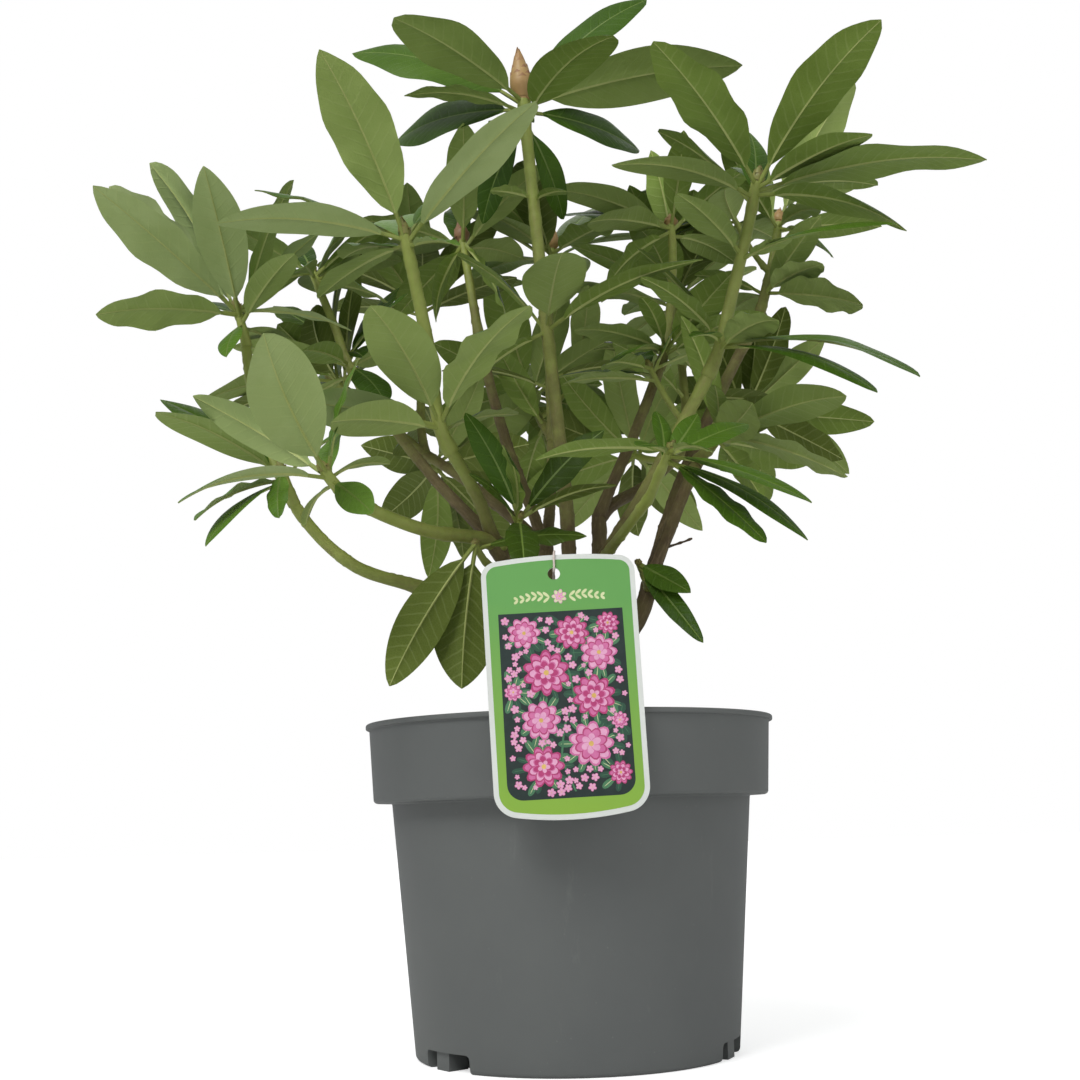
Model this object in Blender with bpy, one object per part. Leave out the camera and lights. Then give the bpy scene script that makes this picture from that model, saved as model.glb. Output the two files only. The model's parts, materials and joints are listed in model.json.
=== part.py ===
"""Potted rhododendron: nursery pot, potting soil, forked trunk, boughs, leafy shoots, tied label.

Blender units are metres with +Z up.  The origin is the middle of the pot's flat
underside, +X is right and +Y is back.  The tables below hold millimetres and
degrees.  A bearing turns from +X towards +Y, and a rise is measured up from level.
"""

import math
import random
from collections import namedtuple

import bmesh
import bpy
from mathutils import Matrix, Vector
from mathutils.bvhtree import BVHTree

MM = 0.001
GAP = 0.3  # clear space between neighbouring pieces

# Nursery pot, a 5 litre container
POT_SIDES = 40
POT_HEIGHT = 181.0
POT_WALL = 2.0
LIP_RADIUS = 115.0
LIP_DEPTH = 3.5
COLLAR_TOP_RADIUS = 113.0
COLLAR_FOOT_RADIUS = 110.7
COLLAR_FOOT = 137.3
BODY_TOP_RADIUS = 100.5
BODY_FOOT_RADIUS = 88.6
FLOOR = 3.0
DRAIN_BEARINGS = (219.0, 339.0, 99.0)
DRAIN_HALF_ANGLE = 12.0
DRAIN_HEIGHT = 9.5
DRAIN_BACK = 76.5
DRAIN_WALL = 2.5
SOIL_TOP = 162.7
SOIL_HEEL = 16.0  # the soil steps in below this, behind the drain recesses

# Label, a thin plastic tag that leans on the pot's lip
LABEL_TOP_WIDTH = 78.5
LABEL_FOOT_WIDTH = 76.5
LABEL_LENGTH = 135.0
LABEL_THICK = 1.0
LABEL_TOP_END = (8.5, 3.0)  # the corners' radius, and how far the edge between them bows
LABEL_FOOT_END = (12.5, 4.5)
LABEL_LEAN = 8.0  # its top leans towards the plant
LABEL_TURN = 2.0
LABEL_MIDDLE = (-3.0, 12.1)  # across, and up the slope from the lip
LABEL_HOLE_RADIUS = 3.2
LABEL_HOLE_DROP = 10.0  # from the label's top edge
TIE_RADIUS = 0.6
TIE_LOOP_RADIUS = 14.0  # round the trunk

# Trunk foot
FOOT_FLARE = 5.5
FLARE_HEIGHT = 9.0
ROOT_RIDGES = 4
TRUNK_SIDES = 12
LIMB_SIDES = 7
STEM_SIDES = 5

# Leaves
LEAF_THICK = 0.016  # of the leaf's length, at its midrib
LEAF_WIDTH = (0.28, 0.35)  # of the leaf's length
LEAF_ARCH = (0.03, 0.08)
PETIOLE = 1.0  # half its width
ROOT_DEPTH = 0.45  # where a leaf springs from, as a share of its stem's radius
BLADE_START = 0.16  # of the leaf's length
LEAD_ROLL = 0.25  # how far a leading leaf's upper face turns to the back
CLEARANCE = 0.8  # kept between a leaf and anything it doesn't grow from
GOLDEN_ANGLE = math.radians(137.5)
SEED = 20

# Each limb leaves its parent at a share of the parent's length and runs by way of
# one point to its tip.  Radii are at its foot and tip.
Limb = namedtuple("Limb", "name parent at via tip radii")
LIMBS = (
    Limb("trunk", None, 0, (3, 3, 184), (0, 0, 206), (11.5, 9.5)),
    Limb("bough_left", "trunk", 1, (-17, -12, 243), (-39, -30, 280), (6.2, 5.2)),
    Limb("bough_centre", "trunk", 1, (3, -4, 262), (1, -10, 320), (4.7, 4.0)),
    Limb("bough_right", "trunk", 1, (34, 2, 228), (50, 2, 262), (5.8, 4.8)),
    Limb("bough_back", "trunk", 1, (-8, 22, 242), (-10, 40, 285), (5.8, 4.8)),
    Limb("bough_back_right", "trunk", 0.9, (17, 16, 250), (22, 24, 303), (5.0, 4.2)),
    Limb("bough_left_low", "trunk", 0.7, (-42, -4, 234), (-80, -12, 257), (4.6, 3.9)),
    Limb("bough_left_reach", "bough_left_low", 1, (-120, -24, 271), (-151, -35, 304), (3.8, 3.2)),
    Limb("bough_far_left", "bough_left_reach", 1, (-172, -24, 350), (-182, -18, 402), (3.0, 2.7)),
    Limb("bough_front_left", "bough_left", 1, (-47, -43, 302), (-61, -54, 327), (3.7, 3.4)),
    Limb("bough_front_low", "bough_left", 1, (-76, -60, 283), (-109, -90, 293), (4.0, 3.4)),
    Limb("bough_mid_left", "bough_left", 1, (-76, -2, 326), (-122, 16, 392), (3.6, 2.8)),
    Limb("bough_right_front", "bough_centre", 0.3, (46, -20, 308), (84, -36, 372), (3.9, 3.6)),
    Limb("bough_low_front", "bough_right_front", 0.2, (33, -47, 282), (44, -72, 293), (3.0, 2.7)),
    Limb("bough_right_mid", "bough_right", 1, (66, 6, 300), (80, 16, 332), (3.9, 3.4)),
    Limb("bough_right_back", "bough_right", 1, (78, 42, 338), (126, 73, 432), (4.1, 3.5)),
    Limb("bough_mid_back", "bough_back_right", 1, (44, 25, 352), (62, 28, 396), (3.5, 3.0)),
    Limb("bough_inner_left", "bough_back", 1, (-34, 40, 360), (-48, 38, 422), (3.5, 3.0)),
    Limb("bough_rear_left", "bough_back", 1, (-48, 76, 330), (-88, 112, 366), (3.9, 3.2)),
    Limb("bough_rear_centre", "bough_back", 1, (-6, 88, 330), (-4, 124, 376), (3.7, 3.1)),
    Limb("bough_rear_right", "bough_back_right", 1, (54, 68, 332), (84, 106, 364), (3.9, 3.2)),
)

# Each mass of foliage has one stem, which leaves a bough in the same way and carries
# whorls of leaves at shares of its length.  A whorl's leading leaves are set by
# bearing, rise, length and sometimes roll and width, and the rule below fills in the rest.
# The bud at the stem's tip has a length and a radius.
Mass = namedtuple("Mass", "name parent at via tip radii bud twigs whorls")
Whorl = namedtuple("Whorl", "at fill length leads")
MASSES = (
    Mass("foliage_leader", "bough_centre", 1, (-8, -17, 430), (-17, -24, 549), (3.9, 3.4), (34, 6.5), 0, (
        Whorl(1.0, 4, 85, (
            (227, 9, 102), (166, 25, 118, -1.1), (1, 42, 100, -1.05), (355, 8, 130, 0.5), (139, 9, 112, -1.0),
            (36, -2, 88, -1.1))),
        Whorl(0.95, 0, 85, ((299, 3, 100, 0.25, 0.35), (130, -50, 66, -1.5), (62, -44, 64, -1.5))),
        Whorl(0.74, 0, 60, ((214, -4, 28, 0.25, 0.4), (305, -11, 32, 0.25, 0.4))),
        Whorl(0.40, 3, 80, ((275, 7, 94, 0.3, 0.38), (154, 45, 80), (316, 6, 115, 0.02, 0.26), (210, -41, 90))))),
    Mass("foliage_front_left", "bough_front_left", 1, (-73, -70, 389), (-83, -84, 442), (3.8, 3.3), (12, 3), 0, (
        Whorl(1.0, 3, 80, (
            (242, 45, 108), (207, -3, 104, 0.5), (317, 27, 108), (138, -9, 75), (318, -15, 40, 0.25, 0.45),
            (124, 15, 80))),
        Whorl(0.16, 2, 70, (
            (250, 27, 92, 0.25, 0.36), (305, 26, 97, 0.25, 0.38), (212, 2, 90, 1.1), (234, -8, 86, 1.1), (52, 18, 70))))),
    Mass("foliage_right_front", "bough_right_front", 1, (101, -45, 424), (115, -54, 480), (3.6, 3.3), (12, 3.4), 0, (
        Whorl(1.0, 3, 80, (
            (233, 24, 112), (308, 33, 112), (310, 3, 82), (335, -2, 127, 0.1), (28, 14, 92), (324, -25, 98),
            (213, -1, 98, 0.2), (79, 64, 60), (150, 46, 80))),
        Whorl(0.64, 0, 70, ((229, 18, 62, 0.25, 0.42), (321, -2, 98, -0.5, 0.26), (305, 3, 40))),
        Whorl(0.2, 2, 65, (
            (216, 25, 62), (242, -12, 45), (324, -18, 122, -0.5, 0.26), (317, -24, 108, -0.5, 0.23),
            (300, -7, 58, 0.3, 0.4))))),
    Mass("foliage_mid_back", "bough_mid_back", 1, (73, 45, 450), (76, 60, 501), (3.0, 2.5), (10, 4), 0, (
        Whorl(1.0, 3, 75, (
            (159, 29, 75, -0.9), (155, 18, 80, -0.9), (231, -13, 90), (110, 29, 50), (218, -43, 85), (106, 68, 75), (47, -1, 70))),
        Whorl(0.14, 2, 65, ((247, 27, 45), (217, 1, 70), (233, -19, 60), (299, 21, 80))))),
    Mass("foliage_right_back", "bough_right_back", 1, (142, 85, 476), (151, 95, 514), (3.6, 2.8), (14, 4), 1, (
        Whorl(1.0, 2, 80, ((359, 62, 115), (178, 66, 80), (287, -11, 60), (295, -34, 70), (22, 10, 82))),
        Whorl(0.38, 2, 70, ((298, -1, 58, -0.3, 0.42), (312, -20, 80, 0.1, 0.42), (100, 10, 80))))),
    Mass("foliage_far_left", "bough_far_left", 1, (-184, -19, 412), (-187, -20, 424), (2.7, 2.5), (9, 2.6), 0, (
        Whorl(1.0, 2, 80, (
            (220, 32, 105), (181, 47, 110), (227, -12, 95, 0.7), (265, 41, 95), (174, 62, 115), (20, 73, 95),
            (309, 22, 65), (267, -40, 45), (71, 1, 60), (351, -13, 70, 0.1, 0.24))),)),
    Mass("foliage_mid_left", "bough_mid_left", 1, (-138, 32, 432), (-153, 45, 470), (2.8, 2.4), (10, 3), 0, (
        Whorl(1.0, 3, 75, ((232, -31, 60), (116, 39, 60), (64, 24, 60), (272, -14, 55), (74, 42, 70), (50, 25, 80), (320, -23, 70))),
        Whorl(0.12, 2, 65, ((249, -6, 55), (57, 26, 60), (301, -35, 60))))),
    Mass("foliage_inner_left", "bough_inner_left", 1, (-54, 43, 462), (-58, 50, 490), (3.0, 2.5), (18, 4.5), 0, (
        Whorl(1.0, 4, 75, ((118, -22, 65), (303, -54, 75), (241, -60, 70), (126, -12, 80), (58, 12, 70), (102, 50, 60))),)),
    Mass("foliage_front_low", "bough_front_low", 1, (-117, -99, 298), (-124, -105, 307), (3.4, 3.0), (8, 2.8), 0, (
        Whorl(1.0, 1, 60, (
            (260, 26, 104, 0.25, 0.36), (173, 33, 85, 0.9), (224, -14, 90, 0.0), (56, 19, 50), (92, 43, 60),
            (304, -29, 50), (118, -18, 45))),)),
    Mass("foliage_left_low", "bough_left_reach", 1, (-154, -38, 313), (-157, -41, 322), (2.9, 2.5), (8, 2.6), 0, (
        Whorl(1.0, 1, 65, (
            (276, -48, 42), (227, 16, 85), (169, 35, 90, 0.0), (232, -26, 70), (247, -43, 75, 0.0, 0.2))),)),
    Mass("foliage_low_front", "bough_low_front", 1, (50, -84, 304), (56, -95, 316), (2.7, 2.4), (7, 2.4), 0, (
        Whorl(1.0, 1, 60, (
            (205, -7, 78, 0.9), (242, -6, 40, 0.8), (319, -24, 92, -0.1, 0.2), (32, 24, 60), (327, -43, 74, -0.1, 0.24),
            (327, -33, 92, -0.1, 0.17), (49, 45, 45), (92, 59, 40))),)),
    Mass("foliage_right_mid", "bough_right_mid", 1, (90, 21, 344), (98, 25, 353), (3.6, 3.0), (8, 2.6), 1, (
        Whorl(1.0, 2, 70, (
            (313, -25, 98, -0.2, 0.22), (316, 5, 90, -0.35, 0.3), (263, 24, 50), (36, -4, 76, 0.5, 0.4),
            (301, -47, 62, 0.5, 0.36), (290, 15, 60, 0.25, 0.45))),)),
    Mass("foliage_right_low", "bough_right", 0.9, (45, -20, 260), (41, -34, 266), (2.2, 1.8), (4, 1.6), 0, (
        Whorl(1.0, 0, 50, ((301, -25, 50, -0.3, 0.3), (302, -42, 72, -0.3, 0.17), (66, -24, 48, -0.6, 0.26))),)),
    Mass("foliage_centre_low", "bough_left", 0.93, (-28, -44, 283), (-24, -56, 290), (2.4, 2.0), (5, 1.8), 0, (
        Whorl(1.0, 2, 60, ((340, 14, 56, 0.8), (350, 45, 66), (265, 30, 60), (240, 22, 50))),)),
    Mass("foliage_hanging", "bough_left", 0.8, (-42, -40, 266), (-49, -52, 276), (2.3, 1.9), (4, 1.7), 0, (
        Whorl(1.0, 0, 60, ((224, -53, 100, 2.9, 0.26), (248, -75, 82, 2.9, 0.42), (350, 4, 60, 0.0))),)),
    Mass("foliage_rear_left", "bough_rear_left", 1, (-118, 112, 392), (-148, 108, 418), (3.0, 2.5), (10, 3), 1, (
        Whorl(1.0, 11, 90, ()), Whorl(0.35, 3, 75, ()))),
    Mass("foliage_rear_left_high", "bough_rear_left", 1, (-92, 132, 424), (-92, 146, 484), (3.1, 2.5), (14, 3.6), 0, (
        Whorl(1.0, 11, 92, ()), Whorl(0.35, 4, 78, ()))),
    Mass("foliage_rear_left_low", "bough_rear_left", 1, (-92, 148, 366), (-84, 178, 374), (2.9, 2.5), (9, 3), 0, (
        Whorl(1.0, 10, 88, ()),)),
    Mass("foliage_rear_high", "bough_rear_centre", 1, (-4, 128, 448), (0, 126, 512), (3.1, 2.5), (16, 4), 0, (
        Whorl(1.0, 11, 92, ()), Whorl(0.35, 4, 80, ()))),
    Mass("foliage_rear_centre", "bough_rear_centre", 1, (-12, 162, 402), (-18, 194, 430), (3.0, 2.5), (11, 3.2), 1, (
        Whorl(1.0, 11, 90, ()), Whorl(0.4, 3, 75, ()))),
    Mass("foliage_rear_right_high", "bough_rear_right", 1, (86, 128, 424), (84, 142, 482), (3.1, 2.5), (14, 3.6), 0, (
        Whorl(1.0, 11, 92, ()), Whorl(0.35, 4, 78, ()))),
    Mass("foliage_rear_right", "bough_rear_right", 1, (112, 134, 386), (134, 160, 404), (3.0, 2.5), (10, 3), 1, (
        Whorl(1.0, 11, 90, ()), Whorl(0.4, 3, 75, ()))),
    Mass("foliage_rear_right_low", "bough_rear_right", 1, (70, 146, 366), (54, 186, 380), (2.9, 2.5), (9, 3), 0, (
        Whorl(1.0, 10, 88, ()),)),
)

TIE_TURNS_ROUND = "trunk"
TIE_SHARE = 0.4  # of the trunk's length
TIE_BEARINGS = (195, 145, 90, 35, -15)

Piece = namedtuple("Piece", "curve radii start end tip_bud")
Leaf = namedtuple("Leaf", "mass root direction upper length width arch")


class Curve:
    """A smooth line through a start, a way point and a tip, read by length along it."""

    STEPS = 24

    def __init__(self, start, via, tip, leaving=None):
        points = [Vector(start), Vector(via), Vector(tip)]
        first, second = (points[1] - points[0]), (points[2] - points[1])
        middle = (points[2] - points[0]).normalized()
        away = leaving if leaving else (2 * first.normalized() - middle).normalized()
        ahead = (2 * second.normalized() - middle).normalized()
        spans = ((points[0], points[1], away, middle, first.length), (points[1], points[2], middle, ahead, second.length))
        self.points = [points[0]]
        for a, b, leave, arrive, size in spans:
            for step in range(1, self.STEPS + 1):
                self.points.append(self.between(a, b, leave * size, arrive * size, step / self.STEPS))
        self.lengths = [0.0]
        for a, b in zip(self.points, self.points[1:]):
            self.lengths.append(self.lengths[-1] + (b - a).length)
        self.length = self.lengths[-1]

    @staticmethod
    def between(a, b, leave, arrive, t):
        """One point of a cubic with these ends and end directions."""
        return (
            a * (2 * t**3 - 3 * t**2 + 1)
            + leave * (t**3 - 2 * t**2 + t)
            + b * (3 * t**2 - 2 * t**3)
            + arrive * (t**3 - t**2)
        )

    def at(self, s):
        """(point, direction) at length s, carried on straight past either end."""
        index = 0
        while index < len(self.points) - 2 and self.lengths[index + 1] < s:
            index += 1
        a, b = self.points[index], self.points[index + 1]
        ahead = (b - a).normalized()
        return a + ahead * (s - self.lengths[index]), ahead


def direction_of(bearing, rise):
    """The unit vector of a bearing and a rise in degrees."""
    turn, lift = math.radians(bearing), math.radians(rise)
    return Vector((math.cos(turn) * math.cos(lift), math.sin(turn) * math.cos(lift), math.sin(lift)))


def across(direction, wanted):
    """The part of wanted that is square to direction, as a unit vector."""
    square = wanted - direction * wanted.dot(direction)
    if square.length < 0.05:
        other = Vector((0.0, -1.0, 0.0))
        square = other - direction * other.dot(direction)
    return square.normalized()


def clear_start(curve, radii, others):
    """The length at which a limb's round section has come clear of the limbs beside it."""
    s = 0.0
    while s < 0.6 * curve.length:
        point, _ = curve.at(s)
        own = radii[0] + (radii[1] - radii[0]) * s / curve.length
        if all((point - centre).length > own + radius + 1.0 for centre, radius in others):
            return s
        s += 1.0
    return s


def samples_of(curve, radii):
    """(point, radius) every 2 mm along a limb."""
    count = max(2, int(curve.length / 2))
    found = []
    for step in range(count + 1):
        share = step / count
        found.append((curve.at(curve.length * share)[0], radii[0] + (radii[1] - radii[0]) * share))
    return found


def grow_limbs():
    """Each node's own stretch of limb, and the stubs that it lends to the limbs it carries."""
    curves, pieces, stubs = {}, {}, {}
    shoots = LIMBS + MASSES
    for shoot in shoots:
        if shoot.parent is None:
            curves[shoot.name] = Curve((4, 4, SOIL_TOP + GAP), shoot.via, shoot.tip)
            continue
        parent = curves[shoot.parent]
        start, ahead = parent.at(parent.length * shoot.at)
        alone = shoot.at == 1 and sum(s.parent == shoot.parent and s.at == 1 for s in shoots) == 1
        toward = (Vector(shoot.via) - start).normalized()
        leaving = ahead if alone else (0.35 * ahead + toward).normalized()
        curves[shoot.name] = Curve(start, shoot.via, shoot.tip, leaving)
    for shoot in shoots:
        curve = curves[shoot.name]
        stubs.setdefault(shoot.name, [])
        cut = 0.0
        if shoot.parent is not None:
            beside = [s for s in shoots if s.parent == shoot.parent and s is not shoot]
            if beside or shoot.at < 1:
                near = samples_of(curves[shoot.parent], dict((s.name, s) for s in shoots)[shoot.parent].radii)
                for other in beside:
                    near += samples_of(curves[other.name], other.radii)
                cut = clear_start(curve, shoot.radii, near)
                stubs[shoot.parent].append(Piece(curve, shoot.radii, 0.0, cut, None))
            cut += GAP
        bud = shoot.bud if isinstance(shoot, Mass) else None
        pieces[shoot.name] = Piece(curve, shoot.radii, cut, curve.length, bud)
    return curves, pieces, stubs


def tube_mesh(piece, sides, spacing=20.0, swell=0.0, foot=None):
    """Points and faces of a closed round limb, with a swelling bud where it has one."""
    curve, radii = piece.curve, piece.radii
    count = max(2, math.ceil((piece.end - piece.start) / spacing))
    stations = []
    for step in range(count + 1):
        s = piece.start + (piece.end - piece.start) * step / count
        stations.append((s, radii[0] + (radii[1] - radii[0]) * min(1.0, s / curve.length)))
    if piece.tip_bud:
        length, thick = piece.tip_bud
        stations += [
            (piece.end + 0.12 * length, 0.8 * thick),
            (piece.end + 0.38 * length, thick),
            (piece.end + 0.72 * length, 0.62 * thick),
            (piece.end + length, 0.16 * thick),
        ]
    points, faces = [], []
    side = None
    for index, (s, radius) in enumerate(stations):
        centre, ahead = curve.at(s)
        if foot and index == 0:
            ahead = Vector((0.0, 0.0, 1.0))
        side = across(ahead, side if side else Vector((1.0, 0.0, 0.0)))
        other = ahead.cross(side)
        for corner in range(sides):
            turn = 2 * math.pi * corner / sides
            reach = radius + swell
            if foot:
                reach += foot(s, turn)
            points.append(centre + reach * (math.cos(turn) * side + math.sin(turn) * other))
    rings = len(stations)
    for ring in range(rings - 1):
        for corner in range(sides):
            a, b = ring * sides + corner, ring * sides + (corner + 1) % sides
            faces.append((a, b, b + sides, a + sides))
    faces.append(tuple(reversed(range(sides))))
    faces.append(tuple(range((rings - 1) * sides, rings * sides)))
    return points, faces


def root_flare(s, turn):
    """How far the trunk's foot stands out beyond its taper, in ridges where the roots begin."""
    ridges = 1 + 0.35 * math.cos(ROOT_RIDGES * turn)
    return FOOT_FLARE * ridges * math.exp(-s / FLARE_HEIGHT)


def leaf_stations(leaf):
    """(share of the length, half width, depth of the midrib) of a leaf's sections."""
    depth = LEAF_THICK * leaf.length
    half = leaf.width / 2
    return (
        (0.0, PETIOLE, 1.6),
        (BLADE_START, PETIOLE, 1.6),
        (0.42, 0.94 * half, depth),
        (0.76, 0.84 * half, depth),
    )


def leaf_mesh(leaf, first=0, swell=0.0):
    """Points and faces of one leaf, a closed blade that is flat above and keeled below."""
    side = leaf.direction.cross(leaf.upper)
    points, faces = [], []
    stations = leaf_stations(leaf)[first:]
    for share, half, depth in stations:
        lift = leaf.arch * leaf.length * 4 * share * (1 - share) + swell
        centre = leaf.root + leaf.direction * leaf.length * share + leaf.upper * lift
        points += [
            centre + side * (half + swell),
            centre - side * (half + swell),
            centre - leaf.upper * (depth + 2 * swell),
        ]
    points.append(leaf.root + leaf.direction * (leaf.length + swell))
    for ring in range(len(stations) - 1):
        for corner in range(3):
            a, b = ring * 3 + corner, ring * 3 + (corner + 1) % 3
            faces.append((a, a + 3, b + 3, b))
    faces.append((0, 1, 2))
    last = (len(stations) - 1) * 3
    for corner in range(3):
        faces.append((last + corner, len(points) - 1, last + (corner + 1) % 3))
    return points, faces


def tree_of(mesh):
    """A search tree of a mesh's faces."""
    points, faces = mesh
    return BVHTree.FromPolygons([tuple(p) for p in points], faces)


class Space:
    """Every limb and leaf placed so far, so that a new one can be kept off them."""

    def __init__(self):
        self.solids = []

    def add(self, owner, mesh):
        self.solids.append((owner, tree_of(mesh)))

    def is_free(self, leaf):
        """True where the leaf stays in the crown and touches nothing that it doesn't grow from."""
        if any(not in_crown(point) for point in leaf_mesh(leaf)[0]):
            return False
        whole = tree_of(leaf_mesh(leaf, 0, CLEARANCE))
        blade = tree_of(leaf_mesh(leaf, 1, 0.0))
        for owner, solid in self.solids:
            tested = blade if owner == leaf.mass else whole
            if tested.overlap(solid):
                return False
        return True


def in_crown(point):
    """True above the pot's rim and inside the reach of the crown."""
    return point.z > POT_HEIGHT + 4 and point.x**2 + (point.y - 20) ** 2 < 300**2


def turns_tried(step, rounds):
    """Small changes of bearing and rise, nearest first."""
    found = [(0.0, 0.0)]
    for ring in range(1, rounds + 1):
        for index in range(6):
            angle = math.pi * index / 3 + 0.5 * ring
            found.append((step * ring * math.cos(angle), step * ring * math.sin(angle)))
    return found


def leaf_on(mass, stem, bearing, rise, length, upward, rng, wide=None):
    """A leaf from these angles, its upper face turned towards the direction called upward."""
    point, axis, radius = stem
    direction = direction_of(bearing, rise)
    root = point + across(axis, direction) * radius * ROOT_DEPTH
    width = length * (wide if wide else rng.uniform(*LEAF_WIDTH))
    return Leaf(mass, root, direction, across(direction, upward), length, width, rng.uniform(*LEAF_ARCH))


def place_leaf(space, leaves, mass, stem, angles, length, upward, rng, rounds, wide=None):
    """Adds the leaf at the first of its tried angles that is free, or skips it."""
    state = rng.random()
    for turn, lift in turns_tried(4.0, rounds):
        own = random.Random(state)
        leaf = leaf_on(mass, stem, angles[0] + turn, angles[1] + lift, length, upward, own, wide)
        if space.is_free(leaf):
            leaves.append(leaf)
            space.add(mass, leaf_mesh(leaf))
            return True
    return False


def stem_at(curve, radii, whorl, index):
    """(point, direction, radius) of the stem at the whorl's leaf of this number, the later ones lower."""
    s = max(2.0, curve.length * whorl.at - 1.3 * (index % 9))
    point, axis = curve.at(s)
    return point, axis, radii[0] + (radii[1] - radii[0]) * s / curve.length


def lead_leaves(space, leaves, mass, curve, rng):
    """The leaves whose bearing, rise and length are set."""
    for whorl in mass.whorls:
        for index, (bearing, rise, length, *more) in enumerate(whorl.leads):
            stem = stem_at(curve, mass.radii, whorl, index)
            upward = stem[1] + Vector((0.0, more[0] if more else LEAD_ROLL, 0.0))
            wide = more[1] if len(more) > 1 else None
            place_leaf(space, leaves, mass.name, stem, (bearing, rise), length, upward, rng, 4, wide)


def fill_whorl(space, leaves, mass, curve, radii, whorl, rng):
    """The leaves that the rule adds, turned by the golden angle and spread wider lower down."""
    taken = [leaf.direction for leaf in leaves if leaf.mass == mass.name]
    phase = rng.uniform(0, 2 * math.pi)
    placed = 0
    for index in range(3 * whorl.fill):
        if placed == whorl.fill:
            return
        stem = stem_at(curve, radii, whorl, index)
        axis = stem[1]
        outward = across(axis, Vector((1.0, 0.0, 0.0)))
        turn = phase + index * GOLDEN_ANGLE
        spoke = math.cos(turn) * outward + math.sin(turn) * axis.cross(outward)
        spread = math.radians(rng.uniform(52, 66) + 30 * index / (3 * whorl.fill))
        direction = math.cos(spread) * axis + math.sin(spread) * spoke
        length = whorl.length * rng.uniform(0.8, 1.08)
        if any(direction.angle(other) < math.radians(24) for other in taken):
            continue
        bearing = math.degrees(math.atan2(direction.y, direction.x))
        rise = math.degrees(math.asin(direction.z))
        if place_leaf(space, leaves, mass.name, stem, (bearing, rise), length, axis, rng, 3):
            placed += 1
            taken.append(leaves[-1].direction)


def side_twigs(curves, pieces, space, rng):
    """Short twigs that the masses grow from their stems, each with a small whorl of its own."""
    twigs = []
    for mass in MASSES:
        for number in range(mass.twigs):
            curve = curves[mass.name]
            root, axis = curve.at(curve.length * 0.55)
            start = Vector(root)
            for attempt in range(12):
                bearing = rng.uniform(0, 360)
                ahead = (direction_of(bearing, 25) + 0.4 * axis).normalized()
                length = rng.uniform(38, 52)
                way = start + ahead * length * 0.5
                tip = start + ahead * length + Vector((0.0, 0.0, 0.25 * length))
                twig = Curve(start, way, tip)
                radii = (0.7 * mass.radii[1], 0.6 * mass.radii[1])
                piece = Piece(twig, radii, 0.0, twig.length, (7, 2.2))
                clear = Piece(twig, radii, 8.0, twig.length + 8, None)
                tested = tree_of(tube_mesh(clear, STEM_SIDES, 20.0, CLEARANCE))
                if in_crown(tip) and not any(tested.overlap(solid) for _, solid in space.solids):
                    twigs.append((mass.name, piece))
                    space.add(mass.name, tube_mesh(piece, STEM_SIDES))
                    break
    return twigs


def grow_plant():
    """Every limb, twig and leaf of the plant, placed one after another."""
    curves, pieces, stubs = grow_limbs()
    space = Space()
    for name, piece in pieces.items():
        space.add(name, tube_mesh(piece, STEM_SIDES))
        for stub in stubs[name]:
            space.add(name, tube_mesh(stub, STEM_SIDES))
    space.add("label", label_prism(LABEL_THICK + 4))
    space.add("label_tie", tie_mesh(curves, 0.8))
    rng = random.Random(SEED)
    leaves = []
    for mass in MASSES:
        lead_leaves(space, leaves, mass, curves[mass.name], rng)
    twigs = side_twigs(curves, pieces, space, rng)
    for mass in MASSES:
        for whorl in mass.whorls:
            fill_whorl(space, leaves, mass, curves[mass.name], mass.radii, whorl, rng)
    for name, piece in twigs:
        mass = next(m for m in MASSES if m.name == name)
        fill_whorl(space, leaves, mass, piece.curve, piece.radii, Whorl(1.0, 6, 70, ()), rng)
    return curves, pieces, stubs, twigs, leaves


# Label and tie


def label_matrix():
    """From the label's own plane, x across and y up the slope, to the plant's frame."""
    lean = Matrix.Rotation(math.radians(90 - LABEL_LEAN), 4, "X")
    turn = Matrix.Rotation(math.radians(LABEL_TURN), 4, "Z")
    out = LIP_RADIUS + GAP / math.cos(math.radians(LABEL_LEAN))
    seat = Matrix.Translation((0.0, -out, POT_HEIGHT))
    middle = Matrix.Translation((LABEL_MIDDLE[0], LABEL_MIDDLE[1], 0.0))
    return seat @ lean @ middle @ turn


def label_outline(inset=0.0, steps=4):
    """Points round the label, moved in by the inset, with round corners and bowed ends."""
    points = []
    for width, (corner, bow), side in ((LABEL_TOP_WIDTH, LABEL_TOP_END, 1), (LABEL_FOOT_WIDTH, LABEL_FOOT_END, -1)):
        half = width / 2
        radius = (half**2 + bow**2) / (2 * bow)
        x = half - corner
        climb = math.sqrt((radius - corner) ** 2 - x**2)
        middle = LABEL_LENGTH / 2 - radius
        turn = math.atan2(climb, x)
        arcs = (
            (x, middle + climb, corner, 0.0, turn),
            (0.0, middle, radius, turn, math.pi - turn),
            (-x, middle + climb, corner, math.pi - turn, math.pi),
        )
        for number, (across_at, up_at, size, first, last) in enumerate(arcs):
            for step in range(number % 2, steps + 1 - number % 2):
                angle = first + (last - first) * step / steps
                reach = size - inset
                points.append((side * (across_at + reach * math.cos(angle)), side * (up_at + reach * math.sin(angle))))
    return points


def label_prism(thick):
    """Points and faces of the label's plate, without its hole."""
    outline = label_outline()
    count = len(outline)
    place = label_matrix()
    points = [place @ Vector((x, y, z)) for z in (0.0, thick) for x, y in outline]
    faces = [tuple(reversed(range(count))), tuple(range(count, 2 * count))]
    for a in range(count):
        b = (a + 1) % count
        faces.append((a, b, b + count, a + count))
    return points, faces


def label_hole():
    """The middle of the label's hole, on its own plane."""
    return Vector((-2.0, LABEL_LENGTH / 2 - LABEL_HOLE_DROP, 0.0))


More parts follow.
